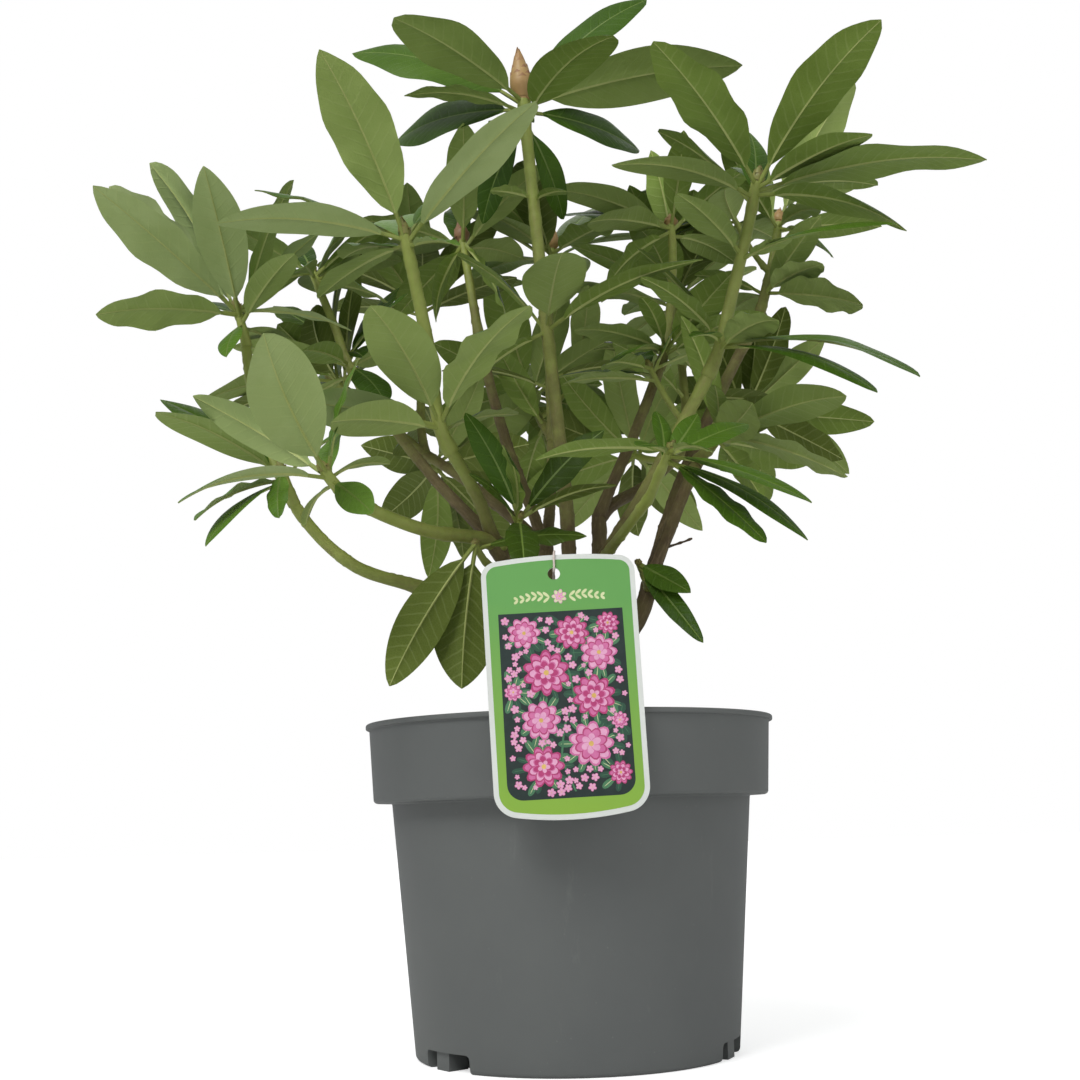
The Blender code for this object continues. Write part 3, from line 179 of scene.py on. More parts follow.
# Each mass of foliage has one stem, which leaves a bough in the same way and carries
# whorls of leaves at shares of its length.  A whorl's leading leaves are set by
# bearing, rise, length and sometimes roll and width, and the rule below fills in the
# rest.  The bud at the stem's tip has a length and a radius.
Mass = namedtuple("Mass", "name parent at via tip radii bud twigs whorls")
Whorl = namedtuple("Whorl", "at fill length leads", defaults=((),))
MASSES = (
    Mass(
        "foliage_leader", "bough_centre", 1, (-8, -17, 430), (-17, -24, 549), (3.9, 3.4), (34, 6.5),
        0, (
            Whorl(1.0, 4, 85, (
                (227, 9, 102), (166, 25, 118, -1.1), (1, 42, 100, -1.05), (355, 8, 130, 0.5),
                (139, 9, 112, -1.0), (36, -2, 88, -1.1)
            )),
            Whorl(0.95, 0, 85, (
                (299, 3, 100, 0.25, 0.35), (130, -50, 66, -1.5), (62, -44, 64, -1.5)
            )),
            Whorl(0.74, 0, 60, ((214, -4, 28, 0.25, 0.4), (305, -11, 32, 0.25, 0.4))),
            Whorl(0.4, 3, 80, (
                (275, 7, 94, 0.3, 0.38), (154, 45, 80), (316, 6, 115, 0.02, 0.26), (210, -41, 90)
            )),
        )),
    Mass(
        "foliage_front_left", "bough_front_left", 1, (-73, -70, 389), (-83, -84, 442), (3.8, 3.3),
        (12, 3), 0, (
            Whorl(1.0, 3, 80, (
                (242, 45, 108), (207, -3, 104, 0.5), (317, 27, 108), (138, -9, 75),
                (318, -15, 40, 0.25, 0.45), (124, 15, 80)
            )),
            Whorl(0.16, 2, 70, (
                (250, 27, 92, 0.25, 0.36), (305, 26, 97, 0.25, 0.38), (212, 2, 90, 1.1),
                (234, -8, 86, 1.1), (52, 18, 70)
            )),
        )),
    Mass(
        "foliage_right_front", "bough_right_front", 1, (101, -45, 424), (115, -54, 480), (3.6, 3.3),
        (12, 3.4), 0, (
            Whorl(1.0, 3, 80, (
                (233, 24, 112), (308, 33, 112), (310, 3, 82), (335, -2, 127, 0.1), (28, 14, 92),
                (324, -25, 98), (213, -1, 98, 0.2), (79, 64, 60), (150, 46, 80)
            )),
            Whorl(0.64, 0, 70, (
                (229, 18, 62, 0.25, 0.42), (321, -2, 98, -0.5, 0.26), (305, 3, 40)
            )),
            Whorl(0.2, 2, 65, (
                (216, 25, 62), (242, -12, 45), (324, -18, 122, -0.5, 0.26),
                (317, -24, 108, -0.5, 0.23), (300, -7, 58, 0.3, 0.4)
            )),
        )),
    Mass(
        "foliage_mid_back", "bough_mid_back", 1, (73, 45, 450), (76, 60, 501), (3.0, 2.5), (10, 4),
        0, (
            Whorl(1.0, 3, 75, (
                (159, 29, 75, -0.9), (155, 18, 80, -0.9), (231, -13, 90), (110, 29, 50),
                (218, -43, 85), (106, 68, 75), (47, -1, 70)
            )),
            Whorl(0.14, 2, 65, ((247, 27, 45), (217, 1, 70), (233, -19, 60), (299, 21, 80))),
        )),
    Mass(
        "foliage_right_back", "bough_right_back", 1, (142, 85, 476), (151, 95, 514), (3.6, 2.8),
        (14, 4), 1, (
            Whorl(1.0, 2, 80, (
                (359, 62, 115), (178, 66, 80), (287, -11, 60), (295, -34, 70), (22, 10, 82)
            )),
            Whorl(0.38, 2, 70, (
                (298, -1, 58, -0.3, 0.42), (312, -20, 80, 0.1, 0.42), (100, 10, 80)
            )),
        )),
    Mass(
        "foliage_far_left", "bough_far_left", 1, (-184, -19, 412), (-187, -20, 424), (2.7, 2.5),
        (9, 2.6), 0, (
            Whorl(1.0, 2, 80, (
                (220, 32, 105), (181, 47, 110), (227, -12, 95, 0.7), (265, 41, 95), (174, 62, 115),
                (20, 73, 95), (309, 22, 65), (267, -40, 45), (71, 1, 60), (351, -13, 70, 0.1, 0.24)
            )),
        )),
    Mass(
        "foliage_mid_left", "bough_mid_left", 1, (-138, 32, 432), (-153, 45, 470), (2.8, 2.4),
        (10, 3), 0, (
            Whorl(1.0, 3, 75, (
                (232, -31, 60), (116, 39, 60), (64, 24, 60), (272, -14, 55), (74, 42, 70),
                (50, 25, 80), (320, -23, 70)
            )),
            Whorl(0.12, 2, 65, ((249, -6, 55), (57, 26, 60), (301, -35, 60))),
        )),
    Mass(
        "foliage_inner_left", "bough_inner_left", 1, (-54, 43, 462), (-58, 50, 490), (3.0, 2.5),
        (18, 4.5), 0, (
            Whorl(1.0, 4, 75, (
                (118, -22, 65), (303, -54, 75), (241, -60, 70), (126, -12, 80), (58, 12, 70),
                (102, 50, 60)
            )),
        )),
    Mass(
        "foliage_front_low", "bough_front_low", 1, (-117, -99, 298), (-124, -105, 307), (3.4, 3.0),
        (8, 2.8), 0, (
            Whorl(1.0, 1, 60, (
                (260, 26, 104, 0.25, 0.36), (173, 33, 85, 0.9), (224, -14, 90, 0.0), (56, 19, 50),
                (92, 43, 60), (304, -29, 50), (118, -18, 45)
            )),
        )),
    Mass(
        "foliage_left_low", "bough_left_reach", 1, (-154, -38, 313), (-157, -41, 322), (2.9, 2.5),
        (8, 2.6), 0, (
            Whorl(1.0, 1, 65, (
                (276, -48, 42), (227, 16, 85), (169, 35, 90, 0.0), (232, -26, 70),
                (247, -43, 75, 0.0, 0.2)
            )),
        )),
    Mass(
        "foliage_low_front", "bough_low_front", 1, (50, -84, 304), (56, -95, 316), (2.7, 2.4),
        (7, 2.4), 0, (
            Whorl(1.0, 1, 60, (
                (205, -7, 78, 0.9), (242, -6, 40, 0.8), (319, -24, 92, -0.1, 0.2), (32, 24, 60),
                (327, -43, 74, -0.1, 0.24), (327, -33, 92, -0.1, 0.17), (49, 45, 45), (92, 59, 40)
            )),
        )),
    Mass(
        "foliage_right_mid", "bough_right_mid", 1, (90, 21, 344), (98, 25, 353), (3.6, 3.0),
        (8, 2.6), 1, (
            Whorl(1.0, 2, 70, (
                (313, -25, 98, -0.2, 0.22), (316, 5, 90, -0.35, 0.3), (263, 24, 50),
                (36, -4, 76, 0.5, 0.4), (301, -47, 62, 0.5, 0.36), (290, 15, 60, 0.25, 0.45)
            )),
        )),
    Mass(
        "foliage_right_low", "bough_right", 0.9, (45, -20, 260), (41, -34, 266), (2.2, 1.8),
        (4, 1.6), 0, (
            Whorl(1.0, 0, 50, (
                (301, -25, 50, -0.3, 0.3), (302, -42, 72, -0.3, 0.17), (66, -24, 48, -0.6, 0.26)
            )),
        )),
    Mass(
        "foliage_centre_low", "bough_left", 0.93, (-28, -44, 283), (-24, -56, 290), (2.4, 2.0),
        (5, 1.8), 0, (
            Whorl(1.0, 2, 60, ((340, 14, 56, 0.8), (350, 45, 66), (265, 30, 60), (240, 22, 50))),
        )),
    Mass(
        "foliage_hanging", "bough_left", 0.8, (-42, -40, 266), (-49, -52, 276), (2.3, 1.9),
        (4, 1.7), 0, (
            Whorl(1.0, 0, 60, (
                (224, -53, 100, 2.9, 0.26), (248, -75, 82, 2.9, 0.42), (350, 4, 60, 0.0)
            )),
        )),
    Mass(
        "foliage_rear_left", "bough_rear_left", 1, (-118, 112, 392), (-148, 108, 418), (3.0, 2.5),
        (10, 3), 1, (Whorl(1.0, 11, 90), Whorl(0.35, 3, 75))),
    Mass(
        "foliage_rear_left_high", "bough_rear_left", 1, (-92, 132, 424), (-92, 146, 484),
        (3.1, 2.5), (14, 3.6), 0, (Whorl(1.0, 11, 92), Whorl(0.35, 4, 78))),
    Mass(
        "foliage_rear_left_low", "bough_rear_left", 1, (-92, 148, 366), (-84, 178, 374), (2.9, 2.5),
        (9, 3), 0, (Whorl(1.0, 10, 88),)),
    Mass(
        "foliage_rear_high", "bough_rear_centre", 1, (-4, 128, 448), (0, 126, 512), (3.1, 2.5),
        (16, 4), 0, (Whorl(1.0, 11, 92), Whorl(0.35, 4, 80))),
    Mass(
        "foliage_rear_centre", "bough_rear_centre", 1, (-12, 162, 402), (-18, 194, 430), (3.0, 2.5),
        (11, 3.2), 1, (Whorl(1.0, 11, 90), Whorl(0.4, 3, 75))),
    Mass(
        "foliage_rear_right_high", "bough_rear_right", 1, (86, 128, 424), (84, 142, 482),
        (3.1, 2.5), (14, 3.6), 0, (Whorl(1.0, 11, 92), Whorl(0.35, 4, 78))),
    Mass(
        "foliage_rear_right", "bough_rear_right", 1, (112, 134, 386), (134, 160, 404), (3.0, 2.5),
        (10, 3), 1, (Whorl(1.0, 11, 90), Whorl(0.4, 3, 75))),
    Mass(
        "foliage_rear_right_low", "bough_rear_right", 1, (70, 146, 366), (54, 186, 380), (2.9, 2.5),
        (9, 3), 0, (Whorl(1.0, 10, 88),)),
)

TWIG_WHORL = Whorl(1.0, 6, 70)

# Leaves that have turned on their stalks since they grew, by their bearing, and the
# roll that they show.
TURNED_SINCE = {
    ("foliage_leader", 139): -2.4, ("foliage_leader", 36): -2.6, ("foliage_leader", 166): -1.3,
}

Piece = namedtuple("Piece", "curve radii start end tip_bud")
Leaf = namedtuple("Leaf", "mass root direction upper length width arch")


# Lines, rings and faces


class Curve:
    """A smooth line through a start, a way point and a tip, read by length along it."""

    STEPS = 24

    def __init__(self, start, via, tip, leaving=None):
        start, via, tip = Vector(start), Vector(via), Vector(tip)
        first, second = via - start, tip - via
        middle = (tip - start).normalized()
        away = leaving if leaving else (2 * first.normalized() - middle).normalized()
        ahead = (2 * second.normalized() - middle).normalized()
        self.points = [start]
        for a, b, leave, arrive in ((start, via, away, middle), (via, tip, middle, ahead)):
            size = (b - a).length
            leave, arrive = leave * size, arrive * size
            for step in range(1, self.STEPS + 1):
                self.points.append(self.between(a, b, leave, arrive, step / self.STEPS))
        self.lengths = [0.0]
        for a, b in zip(self.points, self.points[1:]):
            self.lengths.append(self.lengths[-1] + (b - a).length)
        self.length = self.lengths[-1]

    @staticmethod
    def between(a, b, leave, arrive, t):
        """One point of a cubic with these ends and end directions."""
        return (
            a * (2 * t**3 - 3 * t**2 + 1)
            + leave * (t**3 - 2 * t**2 + t)
            + b * (3 * t**2 - 2 * t**3)
            + arrive * (t**3 - t**2)
        )

    def at(self, s):
        """(point, direction) at length s, carried on straight past either end."""
        index = 0
        while index < len(self.points) - 2 and self.lengths[index + 1] < s:
            index += 1
        a, b = self.points[index], self.points[index + 1]
        ahead = (b - a).normalized()
        return a + ahead * (s - self.lengths[index]), ahead


def direction_of(bearing, rise):
    """The unit vector of a bearing and a rise in degrees."""
    turn, lift = math.radians(bearing), math.radians(rise)
    level = math.cos(lift)
    return Vector((math.cos(turn) * level, math.sin(turn) * level, math.sin(lift)))


def across(direction, wanted):
    """The part of wanted that is square to direction, as a unit vector."""
    square = wanted - direction * wanted.dot(direction)
    if square.length < 0.05:
        other = Vector((0.0, -1.0, 0.0))
        square = other - direction * other.dot(direction)
    return square.normalized()


def taper(curve, ends, s):
    """A value at length s that runs evenly from one end's to the other's."""
    return ends[0] + (ends[1] - ends[0]) * min(1.0, s / curve.length)


def turns(count):
    """Even turns once round."""
    return [2 * math.pi * step / count for step in range(count)]


def round_about(centre, side, other, reaches):
    """Points round a centre in the plane of two directions, each as far out as it says."""
    return [
        centre + reach * (math.cos(turn) * side + math.sin(turn) * other)
        for turn, reach in zip(turns(len(reaches)), reaches)
    ]


def prism_faces(count):
    """The faces of a prism whose points are those of its foot, then those of its top."""
    faces = [tuple(reversed(range(count))), tuple(range(count, 2 * count))]
    for a in range(count):
        b = (a + 1) % count
        faces.append((a, b, b + count, a + count))
    return faces


def settled(t):
    """An even step from 0 to 1 with level ends."""
    t = min(1.0, max(0.0, t))
    return t * t * (3 - 2 * t)


# Growth


def clear_start(curve, radii, others):
    """The length at which a limb's round section has come clear of the limbs beside it."""
    s = 0.0
    while s < 0.6 * curve.length:
        point, _ = curve.at(s)
        own = taper(curve, radii, s)
        if all((point - centre).length > own + radius + 1.0 for centre, radius in others):
            return s
        s += 1.0
    return s


def samples_of(curve, radii):
    """(point, radius) every 2 mm along a limb."""
    count = max(2, int(curve.length / 2))
    lengths = [curve.length * (step / count) for step in range(count + 1)]
    return [(curve.at(s)[0], taper(curve, radii, s)) for s in lengths]


def grow_limbs():
    """Each node's own stretch of limb, and the stubs that it lends to the limbs it carries."""
    curves, pieces, stubs = {}, {}, {}
    shoots = {shoot.name: shoot for shoot in LIMBS + MASSES}
    for shoot in shoots.values():
        if shoot.parent is None:
            curves[shoot.name] = Curve((4, 4, SOIL_TOP + GAP), shoot.via, shoot.tip)
            continue
        parent = curves[shoot.parent]
        start, ahead = parent.at(parent.length * shoot.at)
        from_tip = [s for s in shoots.values() if s.parent == shoot.parent and s.at == 1]
        alone = shoot.at == 1 and len(from_tip) == 1
        toward = (Vector(shoot.via) - start).normalized()
        leaving = ahead if alone else (0.35 * ahead + toward).normalized()
        curves[shoot.name] = Curve(start, shoot.via, shoot.tip, leaving)
    for shoot in shoots.values():
        curve = curves[shoot.name]
        stubs.setdefault(shoot.name, [])
        cut = 0.0
        if shoot.parent is not None:
            beside = [s for s in shoots.values() if s.parent == shoot.parent and s is not shoot]
            if beside or shoot.at < 1:
                near = samples_of(curves[shoot.parent], shoots[shoot.parent].radii)
                for other in beside:
                    near += samples_of(curves[other.name], other.radii)
                cut = clear_start(curve, shoot.radii, near)
                stubs[shoot.parent].append(Piece(curve, shoot.radii, 0.0, cut, None))
            cut += GAP
        bud = shoot.bud if isinstance(shoot, Mass) else None
        pieces[shoot.name] = Piece(curve, shoot.radii, cut, curve.length, bud)
    return curves, pieces, stubs


def tube_mesh(piece, swell=0.0):
    """Points and faces of a closed round limb, with a swelling bud where it has one."""
    curve, sides = piece.curve, STEM_SIDES
    count = max(2, math.ceil((piece.end - piece.start) / STEM_SPACING))
    stations = []
    for step in range(count + 1):
        s = piece.start + (piece.end - piece.start) * step / count
        stations.append((s, taper(curve, piece.radii, s)))
    if piece.tip_bud:
        length, thick = piece.tip_bud
        stations += [(piece.end + along * length, out * thick) for along, out in BUD_SECTIONS]
    points, faces, side = [], [], Vector((1.0, 0.0, 0.0))
    for s, radius in stations:
        centre, ahead = curve.at(s)
        side = across(ahead, side)
        points += round_about(centre, side, ahead.cross(side), [radius + swell] * sides)
    last = (len(stations) - 1) * sides
    for ring in range(0, last, sides):
        for corner in range(sides):
            a, b = ring + corner, ring + (corner + 1) % sides
            faces.append((a, b, b + sides, a + sides))
    faces.append(tuple(reversed(range(sides))))
    faces.append(tuple(range(last, last + sides)))
    return points, faces


def leaf_stations(leaf):
    """(share of the length, half width, depth of the midrib) of a leaf's sections."""
    depth = LEAF_THICK * leaf.length
    half = leaf.width / 2
    return (
        (0.0, PETIOLE, PETIOLE_DEPTH),
        (BLADE_START, PETIOLE, PETIOLE_DEPTH),
        (0.42, 0.94 * half, depth),
        (0.76, 0.84 * half, depth),
    )


def leaf_mesh(leaf, first=0, swell=0.0):
    """Points and faces of one leaf, a closed blade that is flat above and keeled below."""
    side = leaf.direction.cross(leaf.upper)
    points, faces = [], []
    stations = leaf_stations(leaf)[first:]
    for share, half, depth in stations:
        lift = leaf.arch * leaf.length * 4 * share * (1 - share) + swell
        centre = leaf.root + leaf.direction * leaf.length * share + leaf.upper * lift
        points += [
            centre + side * (half + swell),
            centre - side * (half + swell),
            centre - leaf.upper * (depth + 2 * swell),
        ]
    points.append(leaf.root + leaf.direction * (leaf.length + swell))
    for ring in range(len(stations) - 1):
        for corner in range(3):
            a, b = ring * 3 + corner, ring * 3 + (corner + 1) % 3
            faces.append((a, a + 3, b + 3, b))
    faces.append((0, 1, 2))
    last = (len(stations) - 1) * 3
    for corner in range(3):
        faces.append((last + corner, len(points) - 1, last + (corner + 1) % 3))
    return points, faces


def tree_of(mesh):
    """A search tree of a mesh's faces."""
    points, faces = mesh
    return BVHTree.FromPolygons([tuple(p) for p in points], faces)


class Space:
    """Every limb and leaf placed so far, so that a new one can be kept off them."""

    def __init__(self):
        self.solids = []

    def add(self, owner, mesh):
        """Takes up the room of one more mesh."""
        self.solids.append((owner, tree_of(mesh)))

    def is_free(self, leaf):
        """True where the leaf stays in the crown and touches nothing that it doesn't grow from."""
        if any(not in_crown(point) for point in leaf_mesh(leaf)[0]):
            return False
        whole = tree_of(leaf_mesh(leaf, 0, CLEARANCE))
        blade = tree_of(leaf_mesh(leaf, 1, 0.0))
        for owner, solid in self.solids:
            tested = blade if owner == leaf.mass else whole
            if tested.overlap(solid):
                return False
        return True


def in_crown(point):
    """True above the pot's rim and inside the reach of the crown."""
    away = point.x**2 + (point.y - CROWN_BACK) ** 2
    return point.z > POT_HEIGHT + CROWN_FOOT and away < CROWN_REACH**2


def turns_tried(step, rounds):
    """Small changes of bearing and rise, nearest first."""
    found = [(0.0, 0.0)]
    for ring in range(1, rounds + 1):
        for index in range(6):
            angle = math.pi * index / 3 + 0.5 * ring
            found.append((step * ring * math.cos(angle), step * ring * math.sin(angle)))
    return found


def leaf_on(mass, stem, bearing, rise, length, upward, rng, wide=None):
    """A leaf from these angles, its upper face turned towards the direction called upward."""
    point, axis, radius = stem
    direction = direction_of(bearing, rise)
    root = point + across(axis, direction) * radius * ROOT_DEPTH
    upper = across(direction, upward)
    width = length * (wide if wide else rng.uniform(*LEAF_WIDTH))
    return Leaf(mass, root, direction, upper, length, width, rng.uniform(*LEAF_ARCH))


def place_leaf(space, leaves, mass, stem, angles, length, upward, rng, rounds, wide=None):
    """Adds the leaf at the first of its tried angles that is free, or skips it."""
    state = rng.random()
    for turn, lift in turns_tried(TRY_STEP, rounds):
        own = random.Random(state)
        leaf = leaf_on(mass, stem, angles[0] + turn, angles[1] + lift, length, upward, own, wide)
        if space.is_free(leaf):
            leaves.append(leaf)
            space.add(mass, leaf_mesh(leaf))
            return True
    return False


def stem_at(curve, radii, whorl, index):
    """(point, direction, radius) of the stem at this leaf of the whorl, the later ones lower."""
    s = max(2.0, curve.length * whorl.at - LEAF_DROP * (index % LEAVES_DOWN))
    point, axis = curve.at(s)
    return point, axis, taper(curve, radii, s)


def lead_leaves(space, leaves, mass, curve, rng):
    """The leaves whose bearing, rise and length are set."""
    for whorl in mass.whorls:
        for index, (bearing, rise, length, *more) in enumerate(whorl.leads):
            stem = stem_at(curve, mass.radii, whorl, index)
            upward = stem[1] + Vector((0.0, more[0] if more else LEAD_ROLL, 0.0))
            wide = more[1] if len(more) > 1 else None
            grown = place_leaf(
                space, leaves, mass.name, stem, (bearing, rise), length, upward, rng, LEAD_TRIES,
                wide)
            if grown and (mass.name, bearing) in TURNED_SINCE:
                upward = stem[1] + Vector((0.0, TURNED_SINCE[mass.name, bearing], 0.0))
                leaves[-1] = leaves[-1]._replace(upper=across(leaves[-1].direction, upward))


def fill_whorl(space, leaves, mass, curve, radii, whorl, rng):
    """The leaves that the rule adds, turned by the golden angle and spread wider lower down."""
    taken = [leaf.direction for leaf in leaves if leaf.mass == mass]
    phase = rng.uniform(0, 2 * math.pi)
    placed = 0
    chances = LEAF_CHANCES * whorl.fill
    for index in range(chances):
        if placed == whorl.fill:
            return
        stem = stem_at(curve, radii, whorl, index)
        axis = stem[1]
        outward = across(axis, Vector((1.0, 0.0, 0.0)))
        turn = phase + index * GOLDEN_ANGLE
        spoke = math.cos(turn) * outward + math.sin(turn) * axis.cross(outward)
        spread = math.radians(rng.uniform(*FIRST_SPREAD) + LAST_SPREAD * index / chances)
        direction = math.cos(spread) * axis + math.sin(spread) * spoke
        length = whorl.length * rng.uniform(*LEAF_SIZES)
        if any(direction.angle(other) < LEAVES_APART for other in taken):
            continue
        bearing = math.degrees(math.atan2(direction.y, direction.x))
        rise = math.degrees(math.asin(direction.z))
        angles = (bearing, rise)
        if place_leaf(space, leaves, mass, stem, angles, length, axis, rng, FILL_TRIES):
            placed += 1
            taken.append(leaves[-1].direction)


def free_twig(curve, thick, space, rng):
    """A short twig half way up a stem, at the first of its tried bearings that is free."""
    start, axis = curve.at(curve.length * TWIG_FOOT)
    radii = (TWIG_TAPER[0] * thick, TWIG_TAPER[1] * thick)
    for _ in range(TWIG_CHANCES):
        bearing = rng.uniform(0, 360)
        ahead = (direction_of(bearing, TWIG_RISE) + 0.4 * axis).normalized()
        length = rng.uniform(*TWIG_LENGTH)
        tip = start + ahead * length + Vector((0.0, 0.0, 0.25 * length))
        twig = Curve(start, start + ahead * length * 0.5, tip)
        tested = tree_of(tube_mesh(Piece(twig, radii, 8.0, twig.length + 8, None), CLEARANCE))
        if in_crown(tip) and not any(tested.overlap(solid) for _, solid in space.solids):
            return Piece(twig, radii, 0.0, twig.length, TWIG_BUD)
    return None


def side_twigs(curves, space, rng):
    """Short twigs that the masses grow from their stems."""
    twigs = []
    for mass in MASSES:
        for _ in range(mass.twigs):
            piece = free_twig(curves[mass.name], mass.radii[1], space, rng)
            if piece:
                twigs.append((mass.name, piece))
                space.add(mass.name, tube_mesh(piece))
    return twigs


Plant = namedtuple("Plant", "curves twigs leaves")


def grow_plant():
    """Every limb, twig and leaf of the plant, placed one after another."""
    curves, pieces, stubs = grow_limbs()
    space = Space()
    for name, piece in pieces.items():
        for stretch in (piece, *stubs[name]):
            space.add(name, tube_mesh(stretch))
    space.add("label", plate(label_outline(), 0.0, LABEL_THICK + 4)[:2])
    space.add("label_tie", tie_mesh(curves, 0.8))
    rng = random.Random(SEED)
    leaves = []
    for mass in MASSES:
        lead_leaves(space, leaves, mass, curves[mass.name], rng)
    twigs = side_twigs(curves, space, rng)
    for mass in MASSES:
        for whorl in mass.whorls:
            fill_whorl(space, leaves, mass.name, curves[mass.name], mass.radii, whorl, rng)
    for name, piece in twigs:
        fill_whorl(space, leaves, name, piece.curve, piece.radii, TWIG_WHORL, rng)
    return Plant(curves, twigs, leaves)


# Label and tie


def label_matrix():
    """From the label's own plane, x across and y up the slope, to the plant's frame."""
    lean = Matrix.Rotation(math.radians(90 - LABEL_LEAN), 4, "X")
    turn = Matrix.Rotation(math.radians(LABEL_TURN), 4, "Z")
    out = LIP_RADIUS + GAP / math.cos(math.radians(LABEL_LEAN))
    seat_at = Matrix.Translation((0.0, -out, POT_HEIGHT))
    middle = Matrix.Translation((*LABEL_MIDDLE, 0.0))
    return seat_at @ lean @ middle @ turn


def label_outline(inset=0.0, steps=4):
    """Points round the label, moved in by the inset, with round corners and bowed ends."""
    ends = ((LABEL_TOP_WIDTH, LABEL_TOP_END, 1), (LABEL_FOOT_WIDTH, LABEL_FOOT_END, -1))
    points = []
    for width, (corner, bow), side in ends:
        half = width / 2
        radius = (half**2 + bow**2) / (2 * bow)
        x = half - corner
        climb = math.sqrt((radius - corner) ** 2 - x**2)
        middle = LABEL_LENGTH / 2 - radius
        turn = math.atan2(climb, x)
        arcs = (
            (x, middle + climb, corner, 0.0, turn),
            (0.0, middle, radius, turn, math.pi - turn),
            (-x, middle + climb, corner, math.pi - turn, math.pi),
        )
        for number, (over, up, size, first, last) in enumerate(arcs):
            reach = size - inset
            for step in range(number % 2, steps + 1 - number % 2):
                angle = first + (last - first) * step / steps
                spot = (over + reach * math.cos(angle), up + reach * math.sin(angle))
                points.append((side * spot[0], side * spot[1]))
    return points


def plate(outline, low, high):
    """Points and faces of a flat plate on the label's plane, and each point's place there."""
    place = label_matrix()
    points = [place @ Vector((x, y, z)) for z in (low, high) for x, y in outline]
    return points, prism_faces(len(outline)), [(x, y, 0.0) for x, y in outline] * 2


def label_hole():
    """The middle of the label's hole, on its own plane."""
    return Vector((LABEL_HOLE_ACROSS, LABEL_LENGTH / 2 - LABEL_HOLE_DROP, 0.0))


def tie_points(curves):
    """The loop's corners: through the hole, over the top edge, round the stem and back."""
    place = label_matrix()
    hole = label_hole()
    top = LABEL_LENGTH / 2
    stem, _ = curves[TIE_TURNS_ROUND].at(TIE_SHARE * curves[TIE_TURNS_ROUND].length)
    front = LABEL_THICK + TIE_RADIUS + GAP
    lower = hole + Vector((0.0, LABEL_HOLE_RADIUS - TIE_RADIUS - GAP, 0.0))
    return [
        place @ (lower + Vector((0.0, -0.4, -TIE_RADIUS - GAP))),
        place @ (lower + Vector((0.0, -0.6, LABEL_THICK / 2))),
        place @ (lower + Vector((0.3, 0.6, front))),
        place @ Vector((hole.x + 0.6, top + 0.2, front)),
        place @ Vector((hole.x + 1.0, top + 2.2, 0.0)),
        *(stem + TIE_LOOP_RADIUS * direction_of(bearing, 0) for bearing in TIE_BEARINGS),
        place @ Vector((hole.x + 3.0, top - 1.0, -5.0)),
    ]


def tie_line(curves, steps_of):
    """(centre, side, other side) along the closed tie, in as many steps as each stretch needs."""
    corners = tie_points(curves)
    centres = []
    for index, b in enumerate(corners):
        a, c, d = (corners[(index + k) % len(corners)] for k in (-1, 1, 2))
        size = (c - b).length
        leave = (c - a).normalized() * size * TIE_EASE
        arrive = (d - b).normalized() * size * TIE_EASE
        steps = steps_of(size)
        centres += [Curve.between(b, c, leave, arrive, step / steps) for step in range(steps)]
    side, line = Vector((1.0, 0.0, 0.0)), []
    for index, centre in enumerate(centres):
        ahead = (centres[(index + 1) % len(centres)] - centres[index - 1]).normalized()
        side = across(ahead, side)
        line.append((centre, side, ahead.cross(side)))
    return line


def tie_mesh(curves, swell):
    """Points and faces of the tie, a closed ring of fine cord."""
    sides, points, faces = TIE_SIDES, [], []
    for centre, side, other in tie_line(curves, lambda size: 3):
        points += round_about(centre, side, other, [TIE_RADIUS + swell] * sides)
    gaps = [(point - points[-sides]).length for point in points[:sides]]
    closing = gaps.index(min(gaps))  # how far the last ring is turned from the first
    for ring in range(0, len(points), sides):
        after = (ring + sides) % len(points)
        shift = 0 if after else closing
        for corner in range(sides):
            ahead = [after + (corner + 1 + shift) % sides, after + (corner + shift) % sides]
            faces.append((ring + corner, ring + (corner + 1) % sides, *ahead))
    return points, faces


# Joined meshes


def mesh_of(name, points, faces):
    """A mesh from millimetre points."""
    data = bpy.data.meshes.new(name)
    data.from_pydata([tuple(p * MM for p in point) for point in points], [], faces)
    return data


